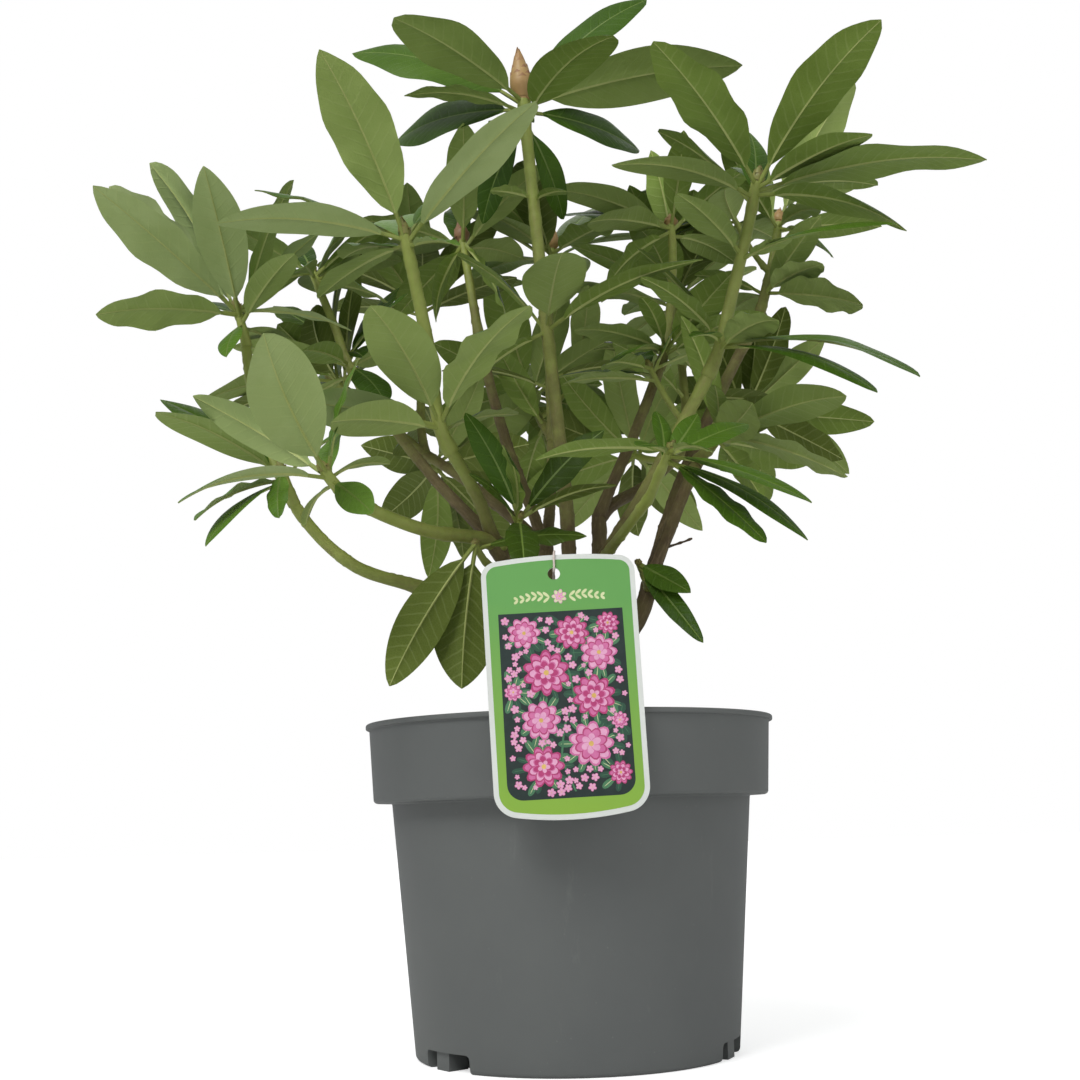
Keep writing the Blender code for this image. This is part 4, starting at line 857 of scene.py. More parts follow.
class Pile:
    """Points, faces and finishes that join into one mesh."""

    def __init__(self):
        self.points, self.places, self.ages, self.faces, self.slots = [], [], [], [], []

    def add(self, points, faces, slots, places=None, ages=None):
        """Adds loose faces; slots is one finish for all of them, or a list."""
        first = len(self.points)
        self.points += points
        self.places += places if places else [(0.0, 0.0, 0.0)] * len(points)
        self.ages += ages if ages else [0.0] * len(points)
        self.faces += [tuple(first + corner for corner in face) for face in faces]
        self.slots += slots if isinstance(slots, list) else [slots] * len(faces)

    def loft(self, rings, finish, places=None, looped=False, ages=None):
        """Skins closed rings one after another, and joins the last to the first if looped.

        The finish is one for all the faces, or a function of the ring and the corner.
        """
        size, count = len(rings[0]), len(rings)
        finish_of = finish if callable(finish) else lambda ring, corner: finish
        faces, slots = [], []
        for ring in range(count if looped else count - 1):
            for corner in range(size):
                a, b = ring * size + corner, ring * size + (corner + 1) % size
                after = ((ring + 1) % count - ring) * size
                face = (a, b, b + after, a + after)
                # Both halves of the ring are split the same way.
                faces.append(face if 2 * corner < size else face[1:] + face[:1])
                slots.append(finish_of(ring, corner))
        if not looped:
            faces.append(tuple(reversed(range(size))))
            faces.append(tuple(range((count - 1) * size, count * size)))
            slots += [finish_of(0, 0), finish_of(count - 2, 0)]
        self.add([point for ring in rings for point in ring], faces, slots, places, ages)

    def make(self, name, finishes, slot, angle=50):
        """The finished piece, which rides on the plant's body."""
        data = mesh_of(name, self.points, self.faces)
        for finish in finishes:
            data.materials.append(finish)
        data.polygons.foreach_set("material_index", self.slots)
        place = data.attributes.new("place", "FLOAT_VECTOR", "POINT")
        place.data.foreach_set("vector", [value * MM for spot in self.places for value in spot])
        age = data.attributes.new("age", "FLOAT", "POINT")
        age.data.foreach_set("value", self.ages)
        data.shade_smooth()
        data.set_sharp_from_angle(angle=math.radians(angle))
        return seat(bpy.data.objects.new(name, data))


def seat(piece):
    """Links a new piece, which rides on the one body."""
    if not piece.users_collection:
        bpy.context.scene.collection.objects.link(piece)
    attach(piece, BODY)
    return piece


# Leaves

UPPER, UNDER, STALK, RIB_ABOVE, RIB_BELOW = 0, 4, 8, 9, 10  # the first two have four tones each
BLADE_RINGS = 19
STALK_RINGS = (0.0, 0.045, 0.09)
BLADE_OPENS = 0.12  # of the leaf's length
BLADE_THICK = 0.5
STALK_DEPTH = 1.9
LEAF_NUMBERS = 1000  # added to a leaf's number for its own draws
BUD_NUMBERS = 500
TWIG_BUDS = 40


def leaf_form(number):
    """How one leaf bends, folds, waves and turns, from its own number."""
    own = random.Random(LEAF_NUMBERS + number)
    wavy = own.random() < 0.3
    return {
        "bulge": own.uniform(0.96, 1.12),
        "tip": own.uniform(-0.1, 0.17),
        "bend": own.uniform(-0.025, 0.025),
        "fold": own.uniform(-0.05, 0.2),
        "waves": own.uniform(2.6, 3.6) if wavy else own.uniform(1.2, 2.4),
        "wave": own.uniform(0.08, 0.13) if wavy else own.uniform(0.0, 0.09),
        "phases": (own.uniform(0, 6.28), own.uniform(0, 6.28)),
        "twist": own.uniform(-0.2, 0.2),
        "droop": own.uniform(0.0, 0.07),
        "thumb": own.random(),
    }


def leaf_line(leaf, form, share):
    """A point of the leaf's midrib."""
    rise = leaf.arch * 4 * share * (1 - share) - form["droop"] * max(0.0, share - 0.5) ** 2 * 2
    side = leaf.direction.cross(leaf.upper)
    return leaf.root + leaf.length * (
        leaf.direction * share + leaf.upper * rise + side * form["bend"] * 4 * share * (1 - share)
    )


def blade_half(leaf, form, t):
    """Half the blade's width at a share of its length."""
    full = 0.6 + form["tip"] * settled((t - 0.4) / 0.6)
    blade = math.sin(math.pi * t ** form["bulge"]) ** full if t > 0 else 0
    half = max(PETIOLE + 0.25 - 0.3 * t, leaf.width / 2 * blade)
    return min(half, leaf.width / 2 * (1 - t) * 4 + 0.25) if t > 0.97 else half


def leaf_ring(leaf, form, share):
    """One closed section of a leaf and its points' places: across, along, the leaf's own number."""
    centre = leaf_line(leaf, form, share)
    ahead = leaf_line(leaf, form, share + 0.01) - leaf_line(leaf, form, share - 0.01)
    ahead = ahead.normalized()
    side = ahead.cross(leaf.upper).normalized()
    up = side.cross(ahead)
    turn = form["twist"] * (share - 0.2)
    side, up = (
        side * math.cos(turn) + up * math.sin(turn), up * math.cos(turn) - side * math.sin(turn),
    )
    t = min(1.0, max(0.0, (share - BLADE_OPENS) / (1 - BLADE_OPENS)))
    opened = settled((share - 0.09) / 0.09)
    half = blade_half(leaf, form, t)
    rib = min(0.75 * (1 - 0.7 * t), 0.3 * half)
    spots = (half, 0.66 * half, 0.33 * half, rib, 0.0, -rib, -0.33 * half, -0.66 * half, -half)
    ring, places = [], []

    def lift(x):
        """How high the blade's upper face stands at this distance from the midrib."""
        v = abs(x) / half
        ripple = math.sin(form["waves"] * 6.28 * t + form["phases"][x > 0])
        wave = form["wave"] * half * ripple * v**1.6
        return opened * (form["fold"] * abs(x) + wave - 0.12 * half * v**4)

    def spot(x, z):
        """Adds a point this far across and up."""
        ring.append(centre + side * x + up * z)
        places.append((x, leaf.length * share, form["thumb"]))

    for index, x in enumerate(spots):
        v = abs(x) / half
        stalk = -STALK_DEPTH * (1 - 0.3 * share) * math.sqrt(1 - v * v)
        ridge = (1.1 * (1 - t) ** 0.8 + 0.1) if index == 4 else 0.0
        blade = -BLADE_THICK * (1 - v**4) - ridge
        spot(x, lift(x) + (1 - opened) * stalk + opened * blade)
    for index, x in enumerate(spots[-2:0:-1]):
        channel = 0.3 * (1 - 0.6 * t) if index == 3 else 0.0
        spot(x, lift(x) - channel)
    return ring, places


def leaf_into(pile, leaf, number, tone):
    """Adds one closed leaf with its stalk."""
    form = leaf_form(number)
    shares = list(STALK_RINGS)
    for step in range(BLADE_RINGS + 1):
        t = 1 - (1 - step / BLADE_RINGS) ** 1.15
        shares.append(BLADE_OPENS + (1 - BLADE_OPENS) * t)
    rings, places = [], []
    for share in shares:
        ring, spots = leaf_ring(leaf, form, share)
        rings.append(ring)
        places += spots

    def finish_of(ring, corner):
        """The stalk, the midrib below or above, or the blade below or above."""
        if ring < len(STALK_RINGS):
            return STALK
        if corner in (3, 4):
            return RIB_BELOW
        if corner in (11, 12):
            return RIB_ABOVE
        return (UNDER if corner < 8 else UPPER) + tone

    pile.loft(rings, finish_of, places)


# Stems and bark

RING_STEP = 1.5
TRUNK_SIDES, BOUGH_SIDES, LEAFY_SIDES, TWIG_SIDES, SNAG_SIDES = 28, 18, 14, 10, 8
ROUND_END = (0.5, 1.0, 1.35)  # leans of the rings that close a limb's end
DEAD_TWIG_HEIGHT = 282.0
LIMB_AGES = {  # at a limb's foot and at its tip, from 0, old bark, to 1, green wood
    "trunk": (0.0, 0.05), "bough_left": (0.0, 0.3), "bough_centre": (0.05, 0.6),
    "bough_right": (0.05, 0.3), "bough_back": (0.0, 0.3), "bough_back_right": (0.05, 0.3),
    "bough_left_low": (0.25, 0.85), "bough_left_reach": (0.85, 1.0), "bough_far_left": (0.9, 1.0),
    "bough_front_left": (0.45, 1.0), "bough_front_low": (0.75, 1.0), "bough_mid_left": (0.25, 0.75),
    "bough_right_front": (0.3, 0.85), "bough_low_front": (0.7, 1.0),
    "bough_right_mid": (0.1, 0.55), "bough_right_back": (0.15, 0.6), "bough_mid_back": (0.2, 0.6),
    "bough_inner_left": (0.2, 0.6), "bough_rear_left": (0.2, 0.6), "bough_rear_centre": (0.2, 0.6),
    "bough_rear_right": (0.2, 0.6),
}


def root_flare(s, turn):
    """How far the trunk's foot stands out beyond its taper, in ridges where the roots begin."""
    return FOOT_FLARE * (1 + 0.35 * math.cos(ROOT_RIDGES * turn)) * math.exp(-s / FLARE_HEIGHT)


def bark_relief(s, turn, radius, age, rings, scars):
    """How far the bark stands out at this length and turn: year rings, leaf scars, fissures."""
    out = 0.0
    for ring in rings:
        if abs(s - ring) < 1.6:
            out += 0.32 * math.exp(-((s - ring) / 0.55) ** 2)
    for at, bearing in scars:
        if abs(s - at) < 3:
            away = abs((turn - bearing + math.pi) % (2 * math.pi) - math.pi) * radius
            out += 0.5 * math.exp(-((s - at) / 1.1) ** 2 - (away / 1.6) ** 2)
    spot = Vector((math.cos(turn) * 2.2, math.sin(turn) * 2.2, s * 0.07))
    out += (0.09 - 0.06 * age) * radius * noise.noise(spot)
    out += (0.3 - 0.24 * age) * noise.noise(Vector((spot.x * 3, spot.y * 3, s * 0.22)))
    return out


def wood_into(pile, curve, radii, sides, ages, rings, rng, rooted=False):
    """Adds one limb with its relief, a collar or a rooted foot, and a rounded end."""
    end, tip = curve.length, radii[1]
    scars = []
    at = 6.0
    while at < end:
        scars.append((at, rng.uniform(0, 2 * math.pi)))
        at += rng.uniform(3.5, 8.0)
    count = max(3, math.ceil(end / RING_STEP))
    stations = [(end * step / count, 1.0) for step in range(count + 1)]
    stations += [(end + tip * math.sin(lean), math.cos(lean)) for lean in ROUND_END]
    loops, places, side = [], [], Vector((1.0, 0.0, 0.0))
    shades = []
    for s, shrink in stations:
        centre, ahead = curve.at(s)
        if rooted and s == 0:
            ahead = Vector((0.0, 0.0, 1.0))
        side = across(ahead, side)
        radius, age = taper(curve, radii, s), taper(curve, ages, s)
        collar = 0.22 * radius * math.exp(-max(0.0, s - radius) / (1.5 * radius))
        reaches = []
        for turn in turns(sides):
            foot = root_flare(s, turn) if rooted else collar
            relief = bark_relief(s, turn, radius, age, rings, scars)
            reaches.append(shrink * (radius + foot + relief))
            places.append((radius * math.cos(turn), radius * math.sin(turn), s))
        shades += [age] * sides
        loops.append(round_about(centre, side, ahead.cross(side), reaches))
    pile.loft(loops, 0, places, ages=shades)


def year_rings(start, count, rng):
    """Close-set rings where a year's growth began."""
    return [start + 1.5 * k + rng.uniform(-0.3, 0.3) for k in range(count)]


def grow_wood(plant):
    """The trunk, boughs and leafy stems with their bark."""
    rng = random.Random(7)
    boughs, stems = Pile(), Pile()
    for limb in LIMBS:
        curve = plant.curves[limb.name]
        rooted = limb.parent is None
        sides = TRUNK_SIDES if rooted else BOUGH_SIDES
        rings = year_rings(curve.length - 9, 5, rng)
        rings += year_rings(curve.length * rng.uniform(0.3, 0.55), 4, rng)
        wood_into(boughs, curve, limb.radii, sides, LIMB_AGES[limb.name], rings, rng, rooted)
    for mass in MASSES:
        curve = plant.curves[mass.name]
        rings = []
        for whorl in mass.whorls:
            rings += year_rings(max(2.0, curve.length * whorl.at - 16), 4, rng)
        foot = LIMB_AGES[mass.parent][1] if mass.at == 1 else 0.8
        wood_into(stems, curve, mass.radii, LEAFY_SIDES, (foot, 1.0), rings, rng)
    for _, piece in plant.twigs:
        rings = year_rings(6, 3, rng)
        wood_into(stems, piece.curve, piece.radii, TWIG_SIDES, (0.9, 1.0), rings, rng)
    bearer = plant.curves["bough_right_back"]
    spots = [bearer.at(s)[0] for s in range(int(bearer.length))]
    foot = next(spot for spot in spots if spot.z > DEAD_TWIG_HEIGHT)
    snag = Curve(foot, foot + Vector((10.0, -2.0, 1.5)), foot + Vector((19.0, -3.0, 4.5)))
    wood_into(boughs, snag, (0.75, 0.5), SNAG_SIDES, (0.0, 0.0), [], rng)
    return boughs, stems


# Buds

TAN, ROSY, GREEN = 0, 1, 2
TIPS = 3  # added to a bud's colour for the tips of its scales
BUD_COLOURS = {
    "foliage_leader": TAN, "foliage_inner_left": ROSY, "foliage_mid_back": TAN,
    "foliage_right_back": TAN, "foliage_rear_high": TAN, "foliage_rear_left_high": ROSY,
    "foliage_rear_right_high": TAN,
}


def bud_radius(share, thick, root):
    """The bud's radius at a share of its length: swollen low down, drawn to a point."""
    if share < 0.3:
        return root + (thick - root) * settled(share / 0.3)
    return thick * max(0.02, 1 - ((share - 0.3) / 0.7) ** 1.35)


def bud_into(pile, curve, bud, root, tone, number):
    """Adds the bud at a stem's tip: a core wrapped in pointed scales."""
    own = random.Random(BUD_NUMBERS + number)
    length, thick = bud
    base, axis = curve.at(curve.length - 0.5)
    side = across(axis, Vector((1.0, 0.0, 0.0)))
    other = axis.cross(side)

    def point(share, turn, out):
        """A point this far along the bud, round it and out from it."""
        reach = bud_radius(share, thick, root) + out
        around = math.cos(turn) * side + math.sin(turn) * other
        return base + axis * length * share + reach * around

    pile.loft([[point(k / 9, turn, -0.25) for turn in turns(12)] for k in range(10)], tone)
    scales = max(9, int(length * 0.8))
    for scale in range(scales):
        turn = scale * GOLDEN_ANGLE + own.uniform(-0.15, 0.15)
        low = 0.02 + 0.62 * scale / scales
        high = min(1.0, low + own.uniform(0.34, 0.44))
        rings = []
        for step in range(7):
            q = step / 6
            share = low + (high - low) * q
            spread = 0.9 * (1 - q**2.2) ** 0.75 + 0.03
            out = (0.15 + 0.4 * q + 0.45 * q**4) * (1 - 0.8 * min(1.0, share) ** 3)
            spots = [(v, out + 0.22 * (1 - v * v)) for v in (-1, -0.5, 0, 0.5, 1)]
            spots += [(v, out - 0.4) for v in (0.5, 0, -0.5)]
            rings.append([point(share, turn + v * spread, lift) for v, lift in spots])
        pile.loft(rings, lambda ring, corner: tone if ring < 5 else tone + TIPS)


def grow_buds(plant):
    """A bud at the tip of each stem and side twig."""
    pile = Pile()
    for number, mass in enumerate(MASSES):
        tone = BUD_COLOURS.get(mass.name, GREEN)
        bud_into(pile, plant.curves[mass.name], mass.bud, mass.radii[1], tone, number)
    for number, (_, piece) in enumerate(plant.twigs):
        bud_into(pile, piece.curve, piece.tip_bud, piece.radii[1], GREEN, TWIG_BUDS + number)
    return pile


# Pot

POT_SIDES = 192
POT_STEPS = 16  # up the body
FILLET_STEPS = 4
UNDERSIDE = 1.2  # the height of the underside's middle
DRAIN_RIBS = ((-2.6, 3.7, 0.7), (-9.2, 4.2, 4.5))  # turn from the recess, half angle, set-back


def around(radius, turn, height):
    """A point at this radius, turn and height."""
    return Vector((radius * math.cos(turn), radius * math.sin(turn), height))


def rounded_profile(corners):
    """Points of a profile whose corners (radius, height, fillet) are turned as arcs."""
    found = []
    for index, (x, z, fillet) in enumerate(corners):
        here = Vector((x, z))
        if not fillet:
            found.append(here)
            continue
        before = (Vector(corners[index - 1][:2]) - here).normalized()
        after = (Vector(corners[(index + 1) % len(corners)][:2]) - here).normalized()
        half = before.angle(after) / 2
        reach = fillet / math.tan(half)
        start, end = here + before * reach, here + after * reach
        centre = here + (before + after).normalized() * fillet / math.sin(half)
        for step in range(FILLET_STEPS + 1):
            way = (start - centre).lerp(end - centre, step / FILLET_STEPS)
            found.append(centre + way.normalized() * fillet)
    return found


def pot_profile():
    """The pot's closed outline, from its underside's middle round to its floor's middle."""
    wall, foot, top = POT_WALL, BODY_FOOT_RADIUS, BODY_TOP_RADIUS
    lip_foot = POT_HEIGHT - LIP_DEPTH + 0.6
    corners = [(72, UNDERSIDE, 0), (74, UNDERSIDE, 0.8), (75.5, 0, 0.8), (foot, 0, 2.6)]
    for step in range(1, POT_STEPS):
        share = step / POT_STEPS
        corners.append((foot + (top - foot) * share, COLLAR_FOOT * share, 0))
    corners += [
        (top, COLLAR_FOOT, 1.2), (COLLAR_FOOT_RADIUS, COLLAR_FOOT, 2.2),
        (COLLAR_TOP_RADIUS, lip_foot, 0.5), (LIP_RADIUS, lip_foot, 0.8),
        (LIP_RADIUS, POT_HEIGHT, 1.1), (COLLAR_TOP_RADIUS - wall, POT_HEIGHT, 0.9),
        (COLLAR_FOOT_RADIUS - wall, COLLAR_FOOT + wall, 2.0),
        (top - wall, COLLAR_FOOT + wall, 1.0), (foot - wall, FLOOR, 2.0),
    ]
    return [Vector((0.0, UNDERSIDE)), *rounded_profile(corners), Vector((0.0, FLOOR))]


def turned(profile, sides):
    """Points and faces of a body of revolution whose profile starts and ends on the axis."""
    points, faces, rings = [], [], []
    for radius, height in profile:
        if radius == 0:
            rings.append([len(points)] * sides)
            points.append(Vector((0.0, 0.0, height)))
            continue
        rings.append(list(range(len(points), len(points) + sides)))
        points += [around(radius, turn, height) for turn in turns(sides)]
    for low, high in zip(rings, rings[1:]):
        for corner in range(sides):
            after = (corner + 1) % sides
            face = (low[corner], low[after], high[after], high[corner])
            faces.append(tuple(dict.fromkeys(face)))
    return points, faces


def recess_block(bearing, half_angle, inner, outer, low, high, fillet):
    """A curved block whose upper corners are round, through the wall at a bearing."""
    reach = math.radians(half_angle) * BODY_FOOT_RADIUS
    outline = [(-reach, low), (reach, low)]
    for centre, first in ((reach - fillet, 0), (-reach + fillet, 90)):
        for step in range(6):
            lean = math.radians(first + 18 * step)
            height = high - fillet + fillet * math.sin(lean)
            outline.append((centre + fillet * math.cos(lean), height))
    points = [
        around(radius, math.radians(bearing) + along / BODY_FOOT_RADIUS, height)
        for radius in (inner, outer) for along, height in outline
    ]
    return points, prism_faces(len(outline))


def raw_object(name, points, faces):
    """A plain object from millimetre points and faces."""
    obj = bpy.data.objects.new(name, mesh_of(name, points, faces))
    bpy.context.scene.collection.objects.link(obj)
    return obj


def carve(obj, operation, shapes):
    """Joins or cuts closed shapes, all at once, and keeps the result."""
    group = bpy.data.collections.new("shapes")
    bpy.context.scene.collection.children.link(group)
    for points, faces in shapes:
        group.objects.link(bpy.data.objects.new("shape", mesh_of("shape", points, faces)))
    cut = obj.modifiers.new("cut", "BOOLEAN")
    cut.operation, cut.solver = operation, "EXACT"
    cut.operand_type, cut.collection = "COLLECTION", group
    bpy.context.view_layer.update()
    evaluated = obj.evaluated_get(bpy.context.evaluated_depsgraph_get())
    mesh = bpy.data.meshes.new_from_object(evaluated)
    obj.modifiers.clear()
    obj.data = mesh
    for shape in list(group.objects):
        bpy.data.objects.remove(shape, do_unlink=True)
    bpy.data.collections.remove(group)


def finished(obj, finish, angle):
    """The carved object as a smooth piece of one finish."""
    obj.data.materials.clear()
    obj.data.materials.append(finish)
    obj.data.shade_smooth()
    obj.data.set_sharp_from_angle(angle=math.radians(angle))
    return seat(obj)


def shape_pot(finish):
    """The nursery pot with its rounded lip, collar and ribbed drain recesses."""
    pot = raw_object("nursery_pot", *turned(pot_profile(), POT_SIDES))
    low, foot = FLOOR - 1, BODY_FOOT_RADIUS
    half, back, high = DRAIN_HALF_ANGLE, DRAIN_BACK, DRAIN_HEIGHT
    skin = foot - 0.7 + (BODY_TOP_RADIUS - foot) / COLLAR_FOOT * low
    shell = (half + 2, back - DRAIN_WALL, skin, low, high + 2, 3.0)
    carve(pot, "UNION", [recess_block(bearing, *shell) for bearing in DRAIN_BEARINGS])
    opening = (half, back, foot + 20, -5, high, 2.5)
    carve(pot, "DIFFERENCE", [recess_block(bearing, *opening) for bearing in DRAIN_BEARINGS])
    carve(pot, "UNION", [
        recess_block(bearing + turn, rib, back - 1, foot - set_back, 0.1, high + 1, 1.4)
        for bearing in DRAIN_BEARINGS for turn, rib, set_back in DRAIN_RIBS
    ])
    return finished(pot, finish, 32)


# Soil

SOIL_SIDES = 140
SOIL_DEPTH = 22
SOIL_RINGS = 46
CRUMBS = 2600
CHIP_SHARE = 0.16
GRIT_SHARE = 0.015
PEAT, CHIP, GRIT = 0, 1, 2


def soil_height(x, y):
    """The lie of the soil's surface, higher round the trunk."""
    away = math.hypot(x, y)
    swell = 1.6 * math.exp(-(away / 38) ** 2)
    broad = 1.5 * noise.noise(Vector((x * 0.045, y * 0.045, 3.0)))
    rough = broad + 0.8 * noise.noise(Vector((x * 0.2, y * 0.2, 9.0)))
    return SOIL_TOP - 0.9 + swell + rough - 1.2 * settled((away - 80) / 28)


def shape_bed(rim):
    """The bed of soil, which fills the pot's upper part."""
    foot = SOIL_TOP - SOIL_DEPTH
    rings = [(1.0, foot), (BODY_TOP_RADIUS - 3, foot), (rim - 0.8, foot + 2)]
    rings += [(rim * step / SOIL_RINGS, None) for step in range(SOIL_RINGS, 0, -1)]
    rings.append((0.4, None))
    loops = []
    for radius, height in rings:
        loop = []
        for turn in turns(SOIL_SIDES):
            x, y = radius * math.cos(turn), radius * math.sin(turn)
            loop.append(Vector((x, y, soil_height(x, y) if height is None else height)))
        loops.append(loop)
    bed = Pile()
    bed.loft(loops, PEAT)
    return bed


def shape_crumbs(rim):
    """The crumbs, chips of bark and grit that lie on the bed."""
    crumbs = Pile()
    rng = random.Random(31)
    ball = bmesh.new()
    bmesh.ops.create_icosphere(ball, subdivisions=1, radius=1.0)
    lump = [v.co.copy() for v in ball.verts]
    lump_faces = [tuple(v.index for v in f.verts) for f in ball.faces]
    ball.free()
    for number in range(CRUMBS):
        away = (rim - 3) * math.sqrt(rng.random())
        turn = rng.uniform(0, 2 * math.pi)
        x, y = away * math.cos(turn), away * math.sin(turn)
        kind = rng.random()
        if kind < CHIP_SHARE:
            finish, size = CHIP, rng.uniform(1.6, 3.4)
            scale = Vector((size, size * rng.uniform(0.35, 0.6), size * 0.3))
        else:
            finish = GRIT if kind > 1 - GRIT_SHARE else PEAT
            size = rng.uniform(0.5, 1.7) * (1.4 if kind > 0.93 else 1.0)
            scale = Vector((size, size * rng.uniform(0.6, 1), size * rng.uniform(0.5, 0.9)))
        spin = Matrix.Rotation(rng.uniform(0, 6.28), 3, "Z")
        lean = spin @ Matrix.Rotation(rng.gauss(0, 0.4), 3, "X")
        centre = Vector((x, y, soil_height(x, y) + 0.25 * scale.z))
        points = []
        for corner in lump:
            dent = 1 + 0.35 * noise.noise(corner * 1.7 + Vector((number, 0, 0)))
            points.append(centre + lean @ Vector([c * s * dent for c, s in zip(corner, scale)]))
        crumbs.add(points, lump_faces, finish)
    return crumbs


# Label and its tie

PRINT_LIFT = 0.03  # each printed layer stands this much above the one below
PRINT_SINK = 0.02  # and starts this much inside it
PICTURE = (-31.5, 31.5, -57.0, 37.5)  # left, right, foot and top on the label's plane
PICTURE_CORNER = 8.0
BORDER = 2.6
OUTLINE_STEPS = 16
PETAL_SIDES = 12
HOLE_SIDES = 40
THREAD_SIDES = 12
THREAD_STEP = 0.8
FIELD, LEAFY, DARK_LEAF, PINK, ROSE, PALE, EYE, CREAM = range(8)

# A blossom's rings of petals: how many, their reach and width, and the inks of rim and face.
FULL = (
    (10, 1.0, 0.27, ROSE, PINK), (8, 0.78, 0.25, ROSE, PALE), (7, 0.56, 0.2, PINK, ROSE),
    (5, 0.34, 0.14, ROSE, PALE),
)
SOFT = ((9, 1.0, 0.3, PINK, PALE), (8, 0.74, 0.25, ROSE, PINK), (6, 0.5, 0.2, PINK, PALE))
SMALL = ((5, 1.0, 0.42, PINK, PALE),)
CREST = ((7, 1.0, 0.3, PALE, CREAM), (6, 0.6, 0.2, PINK, PALE))
BLOOMS = (  # across, up, size and kind, along a spray that winds up the picture
    (-13, -41, 10.5, FULL), (11, -31, 11.5, SOFT), (-13, -18, 10.0, SOFT), (14, -7, 11.0, FULL),
    (-9, 6, 12.0, FULL), (18, 15, 9.5, SOFT), (-19, 27, 8.5, SOFT), (5, 26, 9.0, FULL),
    (23.5, 30, 6.0, FULL), (24.5, -46, 6.0, FULL), (-26, -3, 4.6, SOFT), (26, -20, 4.4, SOFT),
)
SPRAY = ((2, -54), (-5, -38), (-3, -22), (4, -8), (3, 6), (-2, 18), (4, 32))
LEAVES_ROUND = 11  # tried round each blossom
SMALL_TRIED = 500
GARLAND_HEIGHT = 45.2
GARLAND_PAIRS = 6  # of leaves on each side


def picture_outline():
    """Points round the printed picture: square above, round below."""
    left, right, foot, top = PICTURE
    corner = PICTURE_CORNER
    points = [(right, top), (left, top)]
    for x, first in ((left + corner, 180), (right - corner, 270)):
        for step in range(9):
            angle = math.radians(first + 11.25 * step)
            points.append((x + corner * math.cos(angle), foot + corner * (1 + math.sin(angle))))
    return points


def in_picture(x, y, margin):
    """True inside the picture's outline by this margin."""
    left, right, foot, top = PICTURE
    corner = PICTURE_CORNER
    low = math.hypot(max(0, abs(x) - right + corner), min(0, y - foot - corner)) < corner - margin
    return left + margin < x < right - margin and y < top - margin and low


def petal(x, y, turn, reach, wide, start=0.0):
    """Points round one petal or leaf that starts at a point and runs out at an angle."""
    points = []
    for angle in turns(PETAL_SIDES):
        along = start + reach * (0.5 - 0.5 * math.cos(angle))
        side = wide * math.sin(angle) * (0.75 + 0.25 * (along - start) / reach)
        points.append((
            x + along * math.cos(turn) + side * math.sin(turn),
            y + along * math.sin(turn) - side * math.cos(turn),
        ))
    return points[::-1]


def print_onto(pile, outline, layer, ink):
    """Prints one closed shape on the label, as a film on top of the layers below."""
    low = LABEL_THICK + PRINT_LIFT * (layer - 1) - PRINT_SINK
    points, faces, places = plate(outline, low, LABEL_THICK + PRINT_LIFT * layer)
    pile.add(points, faces, ink, places)


def bloom_onto(pile, x, y, size, turn, layer, rings):
    """Prints one blossom: rings of rimmed petals, each smaller than the last, and an eye."""
    for ring, (count, reach, wide, rim, ink) in enumerate(rings):
        reach, wide = reach * size, wide * size
        for number in range(count):
            angle = turn + 0.37 * ring + 2 * math.pi * number / count
            lift = layer + ring + 0.05 * number
            print_onto(pile, petal(x, y, angle, reach, wide), lift, rim)
            print_onto(pile, petal(x, y, angle, 0.9 * reach, 0.82 * wide), lift + 0.025, ink)
    eye = petal(x - 0.11 * size, y, 0.0, 0.22 * size, 0.13 * size)
    print_onto(pile, eye, layer + len(rings), EYE)


def leaf_onto(pile, x, y, turn, start, reach, wide, layer, ink):
    """Prints one leaf with its midrib."""
    print_onto(pile, petal(x, y, turn, reach, wide, start), layer, ink)
    midrib = CREAM if ink == LEAFY else LEAFY
    print_onto(pile, petal(x, y, turn, 0.86 * reach, 0.16, start), layer + 0.4, midrib)


